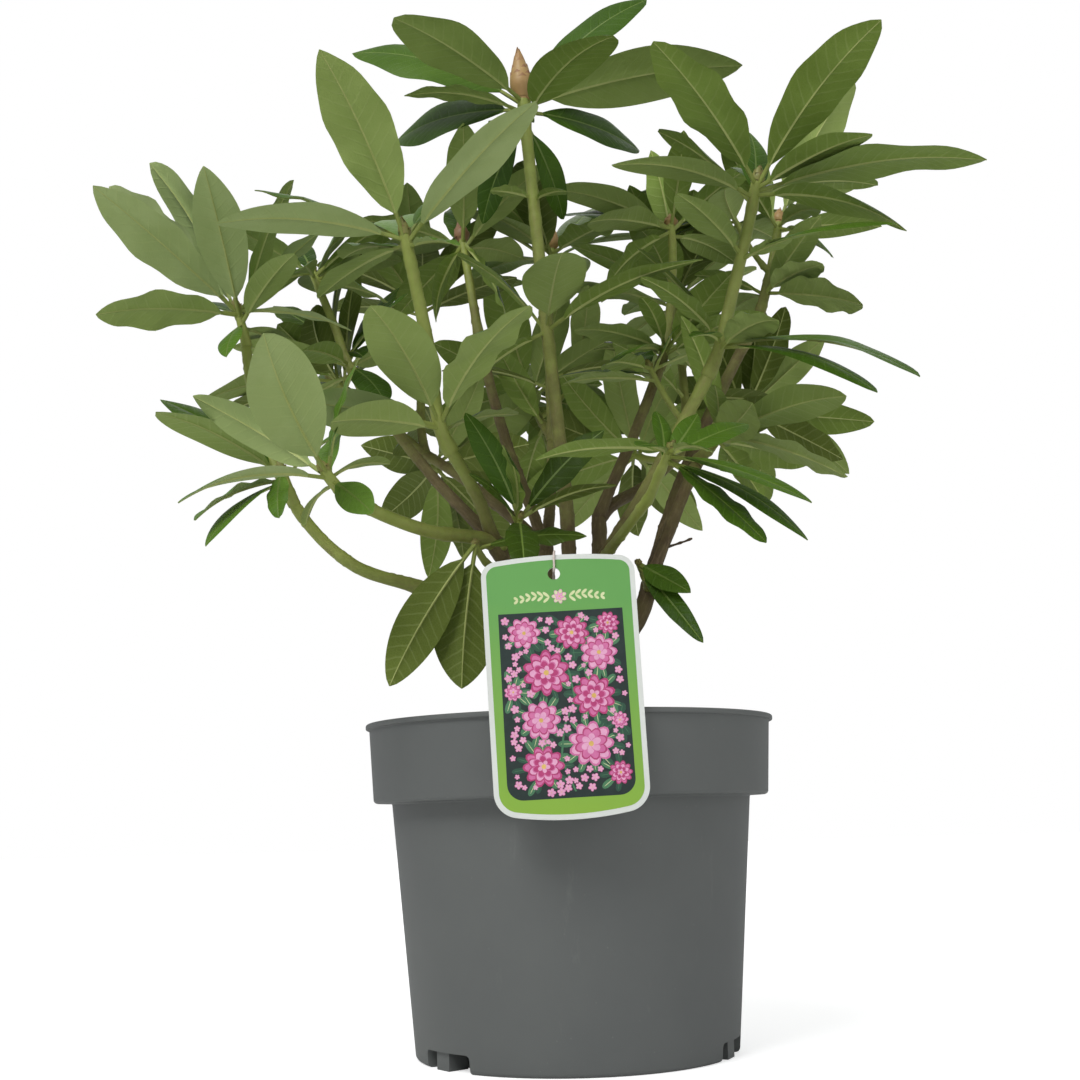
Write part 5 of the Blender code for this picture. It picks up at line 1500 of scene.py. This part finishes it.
def shape_print():
    """The label's printed picture: a winding spray of blossoms and leaves, a garland above."""
    pile = Pile()
    rng = random.Random(12)
    left, right, foot, top = PICTURE
    print_onto(pile, picture_outline(), 2, FIELD)
    for number, (x, y, size, _) in enumerate(BLOOMS):
        for spoke in range(LEAVES_ROUND):
            turn = spoke * 0.571 + rng.uniform(-0.2, 0.2) + number
            reach = rng.uniform(5.0, 9.0)
            start = 0.7 * size
            tip = start + reach
            if in_picture(x + tip * math.cos(turn), y + tip * math.sin(turn), 0.8):
                ink = LEAFY if rng.random() < 0.45 else DARK_LEAF
                wide, layer = rng.uniform(1.5, 2.4), 3 + 0.04 * number + 0.003 * spoke
                leaf_onto(pile, x, y, turn, start, reach, wide, layer, ink)
    stem = [(x + 1.2 * math.sin(0.9 * k), y) for k, (x, y) in enumerate(SPRAY)]
    left_edge, right_edge = [(x - 0.5, y) for x, y in stem], [(x + 0.5, y) for x, y in stem]
    print_onto(pile, left_edge + right_edge[::-1], 4, LEAFY)
    for number, (x, y, size, rings) in enumerate(BLOOMS):
        bloom_onto(pile, x, y, size, number * 0.7, 5 + 0.3 * (number % 3), rings)
    taken = [(x, y, size) for x, y, size, _ in BLOOMS]
    for _ in range(SMALL_TRIED):
        x, y, size = rng.uniform(left, right), rng.uniform(foot, top), rng.uniform(1.3, 2.4)
        clear = all(math.hypot(x - a, y - b) > 0.95 * c + 0.7 * size for a, b, c in taken)
        if clear and in_picture(x, y, size + 0.5):
            taken.append((x, y, size))
            bloom_onto(pile, x, y, size, rng.uniform(0, 6), 4.6, SMALL)
    for side in (-1, 1):
        for step in range(GARLAND_PAIRS):
            x, y = side * (5.0 + 3.2 * step), GARLAND_HEIGHT + 0.9 * math.sin(step * 0.9)
            for lean in (0.7, -0.7):
                turn = lean if side > 0 else math.pi - lean
                sprig = petal(x, y, turn, 4.2 - 0.3 * step, 0.85)
                print_onto(pile, sprig, 2 + 0.1 * step, CREAM)
    bloom_onto(pile, 0.0, 45.3, 3.9, 0.4, 2.5, CREST)
    return pile


def shape_tag(name, outline, low, high, finish):
    """A plate of the label with its hole."""
    tag = raw_object(name, *plate(outline, low, high)[:2])
    along, up = Vector((1.0, 0.0, 0.0)), Vector((0.0, 1.0, 0.0))
    rim = round_about(label_hole(), along, up, [LABEL_HOLE_RADIUS] * HOLE_SIDES)
    carve(tag, "DIFFERENCE", [plate([spot.xy for spot in rim], -3.0, 4.0)[:2]])
    return finished(tag, finish, 35)


def shape_tie(curves):
    """The tie, two plies of thread twisted into one closed loop."""
    line = tie_line(curves, lambda size: max(4, int(size / THREAD_STEP)))
    loops, places, gone = [], [], 0.0
    for index, (centre, side, other) in enumerate(line):
        gone += (line[(index + 1) % len(line)][0] - centre).length
        reaches = []
        for turn in turns(THREAD_SIDES):
            reaches.append(TIE_RADIUS * (0.72 + 0.3 * abs(math.cos(turn - gone * 1.1))))
            places.append((math.cos(turn), math.sin(turn), gone))
        loops.append(round_about(centre, side, other, reaches))
    pile = Pile()
    pile.loft(loops, 0, places, looped=True)
    return pile


# Finishes


def colour(red, green, blue):
    """A colour from its 8-bit screen values."""
    def light(value):
        value /= 255
        return value / 12.92 if value <= 0.04045 else ((value + 0.055) / 1.055) ** 2.4

    return (light(red), light(green), light(blue), 1.0)


def feed(tree, node, feeds):
    """Feeds a node's inputs with plain values or with other nodes' outputs."""
    for key, value in feeds.items():
        if isinstance(value, bpy.types.NodeSocket):
            tree.links.new(value, node.inputs[key])
        else:
            node.inputs[key].default_value = value


def put(tree, kind, feeds=None, **settings):
    """Adds a node, sets it and feeds it."""
    node = tree.nodes.new("ShaderNode" + kind)
    for key, value in settings.items():
        setattr(node, key, value)
    feed(tree, node, feeds or {})
    return node


def sum_of(tree, operation, *values):
    """A Math node's output; its inputs are values or sockets."""
    return put(tree, "Math", dict(enumerate(values)), operation=operation).outputs[0]


def times(tree, first, second):
    """The product of two values."""
    return sum_of(tree, "MULTIPLY", first, second)


def plus(tree, first, second):
    """The sum of two values."""
    return sum_of(tree, "ADD", first, second)


def stretched(tree, place, *scale):
    """A place, scaled along each axis."""
    return put(tree, "VectorMath", {0: place, 1: scale}, operation="MULTIPLY").outputs[0]


def ranged(tree, value, low, high, first=0.0, last=1.0):
    """A value carried from one range, low to high, to another, and held at its ends."""
    feeds = {"Value": value, "From Min": low, "From Max": high, "To Min": first, "To Max": last}
    return put(tree, "MapRange", feeds).outputs[0]


def clouds(tree, place, scale, detail, roughness=0.5):
    """Soft noise."""
    feeds = {"Vector": place, "Scale": scale, "Detail": detail, "Roughness": roughness}
    return put(tree, "TexNoise", feeds).outputs[0]


def cells(tree, place, scale, feature="F1"):
    """Cells, by the distance from their middles or, with the other feature, their edges."""
    feeds = {"Vector": place, "Scale": scale}
    return put(tree, "TexVoronoi", feeds, feature=feature).outputs[0]


def mixed(tree, share, first, second):
    """The output of a colour mix."""
    feeds = {0: share, 6: first, 7: second}
    return put(tree, "Mix", feeds, data_type="RGBA").outputs[2]


def group_of(name, inputs, outputs):
    """A new shader node group, its input node's outputs and its output node."""
    tree = bpy.data.node_groups.new(name, "ShaderNodeTree")
    for label, kind, value in inputs:
        socket = tree.interface.new_socket(
            label, in_out="INPUT", socket_type="NodeSocket" + kind)
        if value is not None:
            socket.default_value = value
    for label, kind in outputs:
        tree.interface.new_socket(label, in_out="OUTPUT", socket_type="NodeSocket" + kind)
    return tree, tree.nodes.new("NodeGroupInput").outputs, tree.nodes.new("NodeGroupOutput")


def use(tree, group, **feeds):
    """The outputs of a group, fed by the names of its inputs."""
    return put(tree, "Group", feeds, node_tree=group).outputs


def drift_group():
    """Two colours that drift into each other in soft patches."""
    tree, given, out = group_of(
        "colour_drift",
        (("Place", "Vector", None), ("First", "Color", (1, 1, 1, 1)),
         ("Second", "Color", (0, 0, 0, 1)), ("Size", "Float", 40.0), ("Lean", "Float", 0.0)),
        (("Colour", "Color"), ("Share", "Float")),
    )
    patches = clouds(tree, given["Place"], given["Size"], 4.0, 0.6)
    leaned = plus(tree, ranged(tree, patches, 0.3, 0.7), given["Lean"])
    share = put(tree, "Clamp", {"Value": leaned}).outputs[0]
    feed(tree, out, {"Colour": mixed(tree, share, given["First"], given["Second"]), "Share": share})
    return tree


def grain_group():
    """Fine surface grain: a height for bump and a roughness between two values."""
    tree, given, out = group_of(
        "fine_grain",
        (("Place", "Vector", None), ("Size", "Float", 900.0), ("Low", "Float", 0.4),
         ("High", "Float", 0.6)),
        (("Height", "Float"), ("Roughness", "Float")),
    )
    grain = clouds(tree, given["Place"], given["Size"], 3.0, 0.65)
    rough = ranged(tree, grain, 0.3, 0.7, given["Low"], given["High"])
    feed(tree, out, {"Height": grain, "Roughness": rough})
    return tree


def vein_group():
    """Side veins that leave the midrib at a slant, and the fine net between them."""
    tree, given, out = group_of(
        "blade_veins",
        (("Place", "Vector", None), ("Spacing", "Float", 5.5)),
        (("Veins", "Float"), ("Net", "Float"), ("Thumb", "Float")),
    )
    millimetres = stretched(tree, given["Place"], 1000.0, 1000.0, 1000.0)
    side, along, thumb = put(tree, "SeparateXYZ", {0: millimetres}).outputs
    away = sum_of(tree, "ABSOLUTE", side)
    bowed = times(tree, sum_of(tree, "POWER", away, 1.5), 0.075)
    slant = sum_of(tree, "SUBTRACT", along, times(tree, away, 0.55))
    wander = times(tree, clouds(tree, millimetres, 0.09, 2.0), 3.5)
    line = plus(tree, sum_of(tree, "SUBTRACT", slant, bowed), wander)
    turn = times(tree, sum_of(tree, "DIVIDE", line, given["Spacing"]), 2 * math.pi)
    wave = plus(tree, times(tree, sum_of(tree, "COSINE", turn), 0.5), 0.5)
    fade = ranged(tree, away, 0.8, 17.0, 1.0, 0.35)
    edges = cells(tree, millimetres, 0.7, "DISTANCE_TO_EDGE")
    feed(tree, out, {
        "Veins": times(tree, sum_of(tree, "POWER", wave, 16.0), fade),
        "Net": ranged(tree, edges, 0.0, 0.16, 1.0, 0.0),
        "Thumb": thumb,
    })
    return tree


def scuff_group():
    """Faint scuffs, specks and dust, as a mask."""
    tree, given, out = group_of(
        "scuffs",
        (("Place", "Vector", None), ("Size", "Float", 60.0), ("Amount", "Float", 0.5)),
        (("Mask", "Float"),),
    )
    long_way = stretched(tree, given["Place"], 1.0, 1.0, 0.22)
    streaks = ranged(tree, clouds(tree, long_way, given["Size"], 8.0, 0.75), 0.6, 0.74)
    dots = ranged(tree, cells(tree, given["Place"], 130.0), 0.03, 0.07, 1.0, 0.0)
    either = sum_of(tree, "MAXIMUM", streaks, dots)
    feed(tree, out, {"Mask": times(tree, either, given["Amount"])})
    return tree


DRIFT, GRAIN, VEINS, SCUFFS = drift_group(), grain_group(), vein_group(), scuff_group()


def blank(name):
    """A new material, its tree, the object's coordinates and the mesh's own places."""
    material = bpy.data.materials.new(name)
    material.use_nodes = True
    tree = material.node_tree
    spot = put(tree, "TexCoord").outputs["Object"]
    place = put(tree, "Attribute", attribute_name="place").outputs["Vector"]
    return material, tree, spot, place


def shader_of(material):
    """A material's shader."""
    return material.node_tree.nodes["Principled BSDF"]


def drift(tree, place, first, second, size, lean=0.0):
    """The drift of two tones, given by their screen values."""
    return use(
        tree, DRIFT, Place=place, First=colour(*first), Second=colour(*second), Size=size,
        Lean=lean)


def grained(tree, place, size, roughness):
    """Fine grain whose roughness stays in this range."""
    return use(tree, GRAIN, Place=place, Size=size, Low=roughness[0], High=roughness[1])


def grain_of(grain):
    """The roughness and the height of a grain, as they are."""
    return grain["Roughness"], grain["Height"]


def dress(material, base, rough, height, distance, strength):
    """Feeds a material's colour, its roughness and, as a bump, its relief."""
    tree = material.node_tree
    bump = put(tree, "Bump", {"Height": height, "Distance": distance, "Strength": strength})
    feeds = {"Base Color": base, "Roughness": rough, "Normal": bump.outputs[0]}
    feed(tree, shader_of(material), feeds)
    return material


def fissured(tree, place, start):
    """Lines along a stem, and the cork that shows where they are strong."""
    lines = clouds(tree, stretched(tree, place, 1.0, 1.0, 0.16), 620.0, 5.0, 0.7)
    return lines, ranged(tree, lines, start, 0.66)


def leaf_finish(name, tones, vein, lined_by, roughness, raised, gloss):
    """A leaf's face: drifting green, slanting veins and their net."""
    material, tree, spot, place = blank(name)
    veins = use(tree, VEINS, Place=place, Spacing=7.5)
    lean = sum_of(tree, "MULTIPLY_ADD", veins["Thumb"], 0.9, -0.45)
    base = drift(tree, spot, *tones, 26.0, lean)["Colour"]
    vein = colour(*vein)
    lined = mixed(tree, times(tree, veins["Veins"], lined_by), base, vein)
    netted = mixed(tree, times(tree, veins["Net"], 0.25 * lined_by), lined, vein)
    grain = grained(tree, spot, 420.0, roughness)
    net = times(tree, veins["Net"], 0.25 * raised)
    relief = sum_of(tree, "MULTIPLY_ADD", veins["Veins"], raised, net)
    height = plus(tree, relief, times(tree, grain["Height"], 0.5))
    shader_of(material).inputs["Specular IOR Level"].default_value = gloss
    return dress(material, netted, grain["Roughness"], height, distance=0.0004, strength=0.7)


def stem_finish(name, first, second, third, roughness, fissures):
    """A green stem or a bud: drifting colour, specks of cork, and fissures along its length."""
    material, tree, spot, place = blank(name)
    lines, cork = fissured(tree, place, 0.52)
    base = drift(tree, spot, first, second, 55.0)["Colour"]
    corked = mixed(tree, times(tree, cork, fissures), base, colour(*third))
    grain = grained(tree, spot, 900.0, roughness)
    height = plus(
        tree, times(tree, lines, 2.0 * fissures), times(tree, grain["Height"], 0.4))
    return dress(material, corked, grain["Roughness"], height, distance=0.0006, strength=0.8)


def bark_finish(name, kinds):
    """Bark that turns from old to young along a limb.

    Each kind of bark has two tones, its fissures' colour and how much they show.
    """
    material, tree, spot, place = blank(name)
    age = put(tree, "Attribute", attribute_name="age").outputs["Fac"]
    patches = sum_of(tree, "MULTIPLY_ADD", clouds(tree, spot, 70.0, 5.0, 0.7), 0.7, -0.35)
    shifted = plus(tree, age, patches)
    lines, cork = fissured(tree, place, 0.5)
    tones = []
    for first, second, third, fissures in kinds:
        base = drift(tree, spot, first, second, 55.0)["Colour"]
        tones.append(mixed(tree, times(tree, cork, fissures), base, colour(*third)))
    old = mixed(tree, ranged(tree, shifted, 0.05, 0.5), tones[0], tones[1])
    base = mixed(tree, ranged(tree, shifted, 0.45, 0.95), old, tones[2])
    grain = grained(tree, spot, 900.0, (0.0, 0.2))
    rough = plus(tree, ranged(tree, shifted, 0.0, 1.0, 0.76, 0.44), grain["Roughness"])
    depth = ranged(tree, shifted, 0.0, 1.0, 1.6, 0.4)
    height = plus(tree, times(tree, lines, depth), times(tree, grain["Height"], 0.4))
    return dress(material, base, rough, height, distance=0.0006, strength=0.8)


def plastic_finish(name, first, second, scuff, size, roughness, amount):
    """Moulded plastic: a faint drift of tone, fine grain, scuffs and specks."""
    material, tree, spot, _ = blank(name)
    marks = use(tree, SCUFFS, Place=spot, Size=70.0, Amount=amount)["Mask"]
    base = drift(tree, spot, first, second, size)["Colour"]
    grain = grained(tree, spot, 2400.0, roughness)
    rough = plus(tree, grain["Roughness"], times(tree, marks, 0.2))
    scuffed = mixed(tree, marks, base, colour(*scuff))
    return dress(material, scuffed, rough, grain["Height"], distance=0.00015, strength=0.6)


def film_finish(name, first, second):
    """A printed film: ink with a fine screen of dots under a thin gloss."""
    material, tree, spot, place = blank(name)
    base = drift(tree, place, first, second, 190.0)["Colour"]
    screen = ranged(tree, cells(tree, place, 2600.0), 0.2, 0.6, 0.0, 0.25)
    grain = grained(tree, spot, 1500.0, (0.32, 0.42))
    inked = mixed(tree, screen, base, colour(*second))
    return dress(material, inked, *grain_of(grain), distance=0.00008, strength=0.5)


def fade_finish(name, top, foot):
    """The label's green, which turns yellower towards its foot."""
    material, tree, spot, _ = blank(name)
    height = put(tree, "SeparateXYZ", {0: spot}).outputs[2]
    patches = drift(tree, spot, (0, 0, 0), (255, 255, 255), 60.0)["Share"]
    share = sum_of(tree, "MULTIPLY_ADD", patches, 0.06, ranged(tree, height, 0.125, 0.24))
    leaned = put(tree, "Clamp", {"Value": share}).outputs[0]
    grain = grained(tree, spot, 1500.0, (0.33, 0.43))
    faded = mixed(tree, leaned, colour(*foot), colour(*top))
    return dress(material, faded, *grain_of(grain), distance=0.00008, strength=0.5)


def soil_finish(name, first, second, third):
    """Peat, chips or grit: rough, drifting, and speckled."""
    material, tree, spot, _ = blank(name)
    base = drift(tree, spot, first, second, 120.0)["Colour"]
    specks = ranged(tree, cells(tree, spot, 420.0), 0.1, 0.45, 0.5, 0.0)
    grain = grained(tree, spot, 700.0, (0.8, 0.98))
    specked = mixed(tree, specks, base, colour(*third))
    return dress(material, specked, *grain_of(grain), distance=0.0012, strength=1.0)


def thread_finish(name, first, second):
    """Spun thread: fine fibres along a pale twist."""
    material, tree, spot, place = blank(name)
    base = drift(tree, spot, first, second, 300.0)["Colour"]
    grain = grained(tree, stretched(tree, place, 900.0, 900.0, 300.0), 3.0, (0.6, 0.8))
    return dress(material, base, *grain_of(grain), distance=0.0002, strength=0.8)


UPPERS = {
    "leaf_upper_deep": ((48, 74, 13), (64, 94, 23)),
    "leaf_upper_green": ((62, 92, 21), (80, 110, 33)),
    "leaf_upper_fresh": ((80, 114, 35), (101, 134, 51)),
    # The dull tone is painted shade: a greyer green for the upper faces of the hanging, low centre
    # and rear leaves.
    "leaf_upper_shaded": ((54, 74, 18), (70, 90, 28)),
}
UNDERS = {
    "leaf_under_deep": ((116, 138, 58), (132, 155, 74)),
    "leaf_under_sage": ((140, 160, 84), (156, 175, 100)),
    "leaf_under_pale": ((157, 175, 110), (173, 190, 128)),
    # The dull tone is painted shade: the darkest underside, for the hanging, low centre and rear
    # leaves.
    "leaf_under_shaded": ((92, 107, 42), (107, 122, 54)),
}
# The veins' colour and share, the roughness, how far the veins stand out, and the gloss
UPPER_FACE = ((104, 136, 56), 0.16, (0.32, 0.46), -0.7, 0.15)
UNDER_FACE = ((182, 194, 126), 0.2, (0.5, 0.66), 0.5, 0.12)
STALKS = {
    "leaf_stalk": ((150, 162, 80), (130, 142, 62), (112, 96, 58), (0.42, 0.58), 0.25),
    "midrib_above": ((112, 134, 58), (96, 120, 46), (82, 104, 40), (0.36, 0.5), 0.2),
    "midrib_below": ((182, 190, 116), (166, 176, 100), (142, 150, 78), (0.45, 0.6), 0.2),
}
BUDS = {
    "bud_tan": ((186, 154, 98), (170, 132, 86), (148, 104, 74)),
    "bud_rosy": ((166, 128, 92), (150, 112, 84), (138, 84, 72)),
    "bud_green": ((126, 134, 66), (142, 128, 72), (116, 88, 54)),
}
BUD_TIP_CORK = (84, 58, 42)
BARKS = (
    ((94, 76, 54), (72, 58, 40), (128, 108, 82), 0.7),
    ((112, 108, 58), (98, 82, 50), (130, 114, 78), 0.5),
    ((156, 166, 82), (134, 148, 64), (150, 140, 84), 0.35),
)
SOILS = {
    "peat": ((44, 32, 24), (62, 46, 33), (34, 24, 18)),
    "bark_chips": ((104, 72, 48), (78, 52, 36), (60, 42, 30)),
    "pale_grit": ((186, 180, 168), (160, 152, 140), (140, 130, 118)),
}
INKS = {
    "ink_field": ((40, 56, 52), (30, 44, 42)),
    "ink_leaf": ((84, 136, 96), (66, 116, 84)),
    "ink_dark_leaf": ((52, 92, 72), (44, 78, 62)),
    "ink_pink": ((222, 128, 176), (206, 104, 158)),
    "ink_rose": ((196, 72, 128), (178, 56, 112)),
    "ink_pale_pink": ((240, 184, 212), (226, 158, 196)),
    "ink_eye": ((238, 206, 120), (214, 170, 92)),
    "ink_cream": ((228, 232, 186), (214, 222, 164)),
}
# Two tones, the scuffs' colour, the drift's size, the roughness, and how much scuffing
FLOOR_PAPER = ((236, 236, 236), (235, 235, 235), (232, 232, 232), 3.0, (0.8, 0.9), 0.2)
POT_GREY = ((101, 104, 102), (94, 97, 96), (128, 130, 127), 9.0, (0.46, 0.58), 0.35)
LABEL_WHITE = ((226, 229, 224), (218, 222, 216), (205, 206, 200), 20.0, (0.36, 0.46), 0.2)


def leaf_finishes():
    """The finishes of a leaf in the order of its slots."""
    made = [leaf_finish(name, tones, *UPPER_FACE) for name, tones in UPPERS.items()]
    made += [leaf_finish(name, tones, *UNDER_FACE) for name, tones in UNDERS.items()]
    return made + [stem_finish(name, *looks) for name, looks in STALKS.items()]


def bud_finishes():
    """Tan, rosy and green bud scales, and their darker tips."""
    bodies = [stem_finish(name, *tones, (0.4, 0.56), 0.35) for name, tones in BUDS.items()]
    tips = [
        stem_finish(name + "_tip", third, second, BUD_TIP_CORK, (0.5, 0.66), 0.4)
        for name, (_, second, third) in BUDS.items()
    ]
    return bodies + tips


# Scene

CAMERA_PLACE = (-0.0136, -0.8892, 0.1279)
CAMERA_TILT = 0.1766
CAMERA_ROLL = -0.0256
FOCAL_PIXELS = 1551.27
IMAGE_PIXELS = 1080
SENSOR = 36.0
FLOOR_REACH = 6000
SOFT_LIGHTS = (  # name, place, size and watts
    ("key_light", (-0.8, -1.2, 1.7), 0.9, 23.5),
    ("fill_light", (1.3, -1.3, 0.7), 1.4, 4),
    ("back_light", (0.2, 1.6, 1.4), 1.2, 4),
)
LIGHTS_AIM = (0.0, 0.0, 0.32)  # inside the crown


def place_camera():
    """The camera, low in front of the pot and tilted up at the crown."""
    data = bpy.data.cameras.new("camera")
    data.sensor_width = SENSOR
    data.lens = SENSOR * FOCAL_PIXELS / IMAGE_PIXELS
    data.clip_start, data.clip_end = 0.05, 50.0
    camera = bpy.data.objects.new("camera", data)
    bpy.context.scene.collection.objects.link(camera)
    ahead = Vector((0.0, math.cos(CAMERA_TILT), math.sin(CAMERA_TILT)))
    up = Vector((0.0, -math.sin(CAMERA_TILT), math.cos(CAMERA_TILT)))
    right = Vector((1.0, 0.0, 0.0))
    turned_right = right * math.cos(CAMERA_ROLL) + up * math.sin(CAMERA_ROLL)
    turned_up = up * math.cos(CAMERA_ROLL) - right * math.sin(CAMERA_ROLL)
    axes = Matrix((turned_right, turned_up, -ahead)).transposed().to_4x4()
    camera.matrix_world = Matrix.Translation(CAMERA_PLACE) @ axes
    bpy.context.scene.camera = camera


def soft_light(name, place, size, watts):
    """A square soft light that faces the crown."""
    data = bpy.data.lights.new(name, "AREA")
    data.shape, data.size, data.energy = "SQUARE", size, watts
    light = bpy.data.objects.new(name, data)
    bpy.context.scene.collection.objects.link(light)
    light.location = place
    light.rotation_mode = "QUATERNION"
    aim = Vector(LIGHTS_AIM) - Vector(place)
    light.rotation_quaternion = aim.to_track_quat("-Z", "Y")


def lay_floor():
    """A plain pale floor whose glow, seen only by the eye, grows away from the pot."""
    corners = [Vector(p) * FLOOR_REACH for p in ((-1, -1, 0), (1, -1, 0), (1, 1, 0), (-1, 1, 0))]
    floor = raw_object("floor", corners, [(0, 1, 2, 3)])
    paper = plastic_finish("pale_floor", *FLOOR_PAPER)
    tree, shader = paper.node_tree, shader_of(paper)
    shader.inputs["Emission Color"].default_value = (1.0, 1.0, 1.0, 1.0)
    spot = put(tree, "TexCoord").outputs["Object"]
    away = put(tree, "VectorMath", {0: spot}, operation="LENGTH").outputs["Value"]
    glow = ranged(tree, away, 0.5, 2.4, 0.6, 0.85)
    seen = put(tree, "LightPath").outputs["Is Camera Ray"]
    feed(tree, shader, {"Emission Strength": times(tree, seen, glow)})
    floor.data.materials.append(paper)


def light_studio():
    """A pale floor, a surround that is white to the eye, and soft lights."""
    lay_floor()
    world = bpy.data.worlds.new("studio")
    world.use_nodes = True
    bpy.context.scene.world = world
    tree = world.node_tree
    tree.nodes.clear()
    seen = put(tree, "Background", {"Color": (1, 1, 1, 1), "Strength": 1.0})
    given = put(tree, "Background", {"Color": (0.97, 0.99, 1.0, 1), "Strength": 0.43})
    eye = put(tree, "LightPath").outputs["Is Camera Ray"]
    mix = put(tree, "MixShader", {0: eye, 1: given.outputs[0], 2: seen.outputs[0]})
    put(tree, "OutputWorld", {0: mix.outputs[0]})
    for light in SOFT_LIGHTS:
        soft_light(*light)
    bpy.context.scene.view_settings.view_transform = "Standard"


LEAF_GROUPS = {
    "leaves_front": (
        "foliage_leader", "foliage_front_left", "foliage_right_front", "foliage_front_low",
        "foliage_low_front", "foliage_right_low", "foliage_centre_low", "foliage_hanging"),
    "leaves_sides": (
        "foliage_mid_back", "foliage_right_back", "foliage_far_left", "foliage_mid_left",
        "foliage_inner_left", "foliage_left_low", "foliage_right_mid"),
    "leaves_rear": (
        "foliage_rear_left", "foliage_rear_left_high", "foliage_rear_left_low",
        "foliage_rear_high", "foliage_rear_centre", "foliage_rear_right_high",
        "foliage_rear_right", "foliage_rear_right_low"),
}
# The fourth tone, the dull one, is painted shade.
DEEP, SAGE, FRESH, SHADED_TONE = 0, 1, 2, 3
# The rear, hanging and low centre masses take darker tones here as painted shade, and the front
# left masses take paler tones as painted light. Within a mass the tone falls at random.
TONES_AND_SHADING = {  # each leaf of a mass takes one of these
    "foliage_front_left": (SAGE, FRESH), "foliage_far_left": (SAGE, FRESH),
    "foliage_left_low": (SAGE, FRESH), "foliage_front_low": (SAGE, FRESH),
    "foliage_leader": (DEEP, SAGE), "foliage_mid_back": (DEEP, SAGE),
    "foliage_inner_left": (DEEP, SAGE), "foliage_right_mid": (DEEP, SAGE),
    "foliage_hanging": (SHADED_TONE,), "foliage_centre_low": (SHADED_TONE, DEEP),
    **{name: (DEEP, DEEP, SHADED_TONE, SAGE) for name in LEAF_GROUPS["leaves_rear"]},
}
OTHER_TONES = (DEEP, SAGE, SAGE)


def dress_plant(plant):
    """Leaves, bark and buds."""
    finishes = leaf_finishes()
    rng = random.Random(5)
    # Each leaf's tone: darker in the rear, hanging and low centre masses as painted shade, paler in
    # the front left ones as painted light.
    tones = [rng.choice(TONES_AND_SHADING.get(leaf.mass, OTHER_TONES)) for leaf in plant.leaves]
    for name, masses in LEAF_GROUPS.items():
        pile = Pile()
        for number, leaf in enumerate(plant.leaves):
            if leaf.mass in masses:
                leaf_into(pile, leaf, number, tones[number])
        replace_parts(pile.make(name, finishes, "foliage", 62), *masses)
    bark = bark_finish("bark", BARKS)
    boughs, stems = grow_wood(plant)
    wood = boughs.make("trunk_and_boughs", [bark], "bark", 60)
    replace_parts(wood, *[limb.name for limb in LIMBS])
    stems.make("leafy_stems", [bark], "bark", 60)
    grow_buds(plant).make("buds", bud_finishes(), "foliage", 60)


def dress_pot():
    """The pot and its soil."""
    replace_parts(shape_pot(plastic_finish("pot_plastic_grey", *POT_GREY)), "pot")
    soils = [soil_finish(name, *tones) for name, tones in SOILS.items()]
    climb = (COLLAR_TOP_RADIUS - COLLAR_FOOT_RADIUS) / (POT_HEIGHT - COLLAR_FOOT)
    rim = COLLAR_FOOT_RADIUS + climb * (SOIL_TOP - COLLAR_FOOT) - POT_WALL - GAP
    bed = shape_bed(rim).make("soil_bed", soils[:1], "potting_mix")
    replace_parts(bed, "potting_soil")
    shape_crumbs(rim).make("soil_crumbs", soils, "potting_mix", 30)


def dress_label(plant):
    """The label, its print and its tie."""
    white = plastic_finish("label_white", *LABEL_WHITE)
    green = fade_finish("label_green", (104, 166, 86), (142, 182, 62))
    outline, field = label_outline(0.0, OUTLINE_STEPS), label_outline(BORDER, OUTLINE_STEPS)
    tag = shape_tag("label_plate", outline, 0.0, LABEL_THICK, white)
    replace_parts(tag, "label")
    low, high = LABEL_THICK - PRINT_SINK, LABEL_THICK + PRINT_LIFT
    shape_tag("label_field", field, low, high, green)
    inks = [film_finish(name, *tones) for name, tones in INKS.items()]
    shape_print().make("label_print", inks, "label_plastic", 35)
    thread = thread_finish("thread", (226, 214, 206), (206, 190, 180))
    tie = shape_tie(plant.curves).make("label_thread", [thread], "tie_cord", 60)
    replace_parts(tie, "label_tie")


def main():
    """The whole scene."""
    place_camera()
    light_studio()
    plant = grow_plant()
    dress_plant(plant)
    dress_pot()
    dress_label(plant)


main()
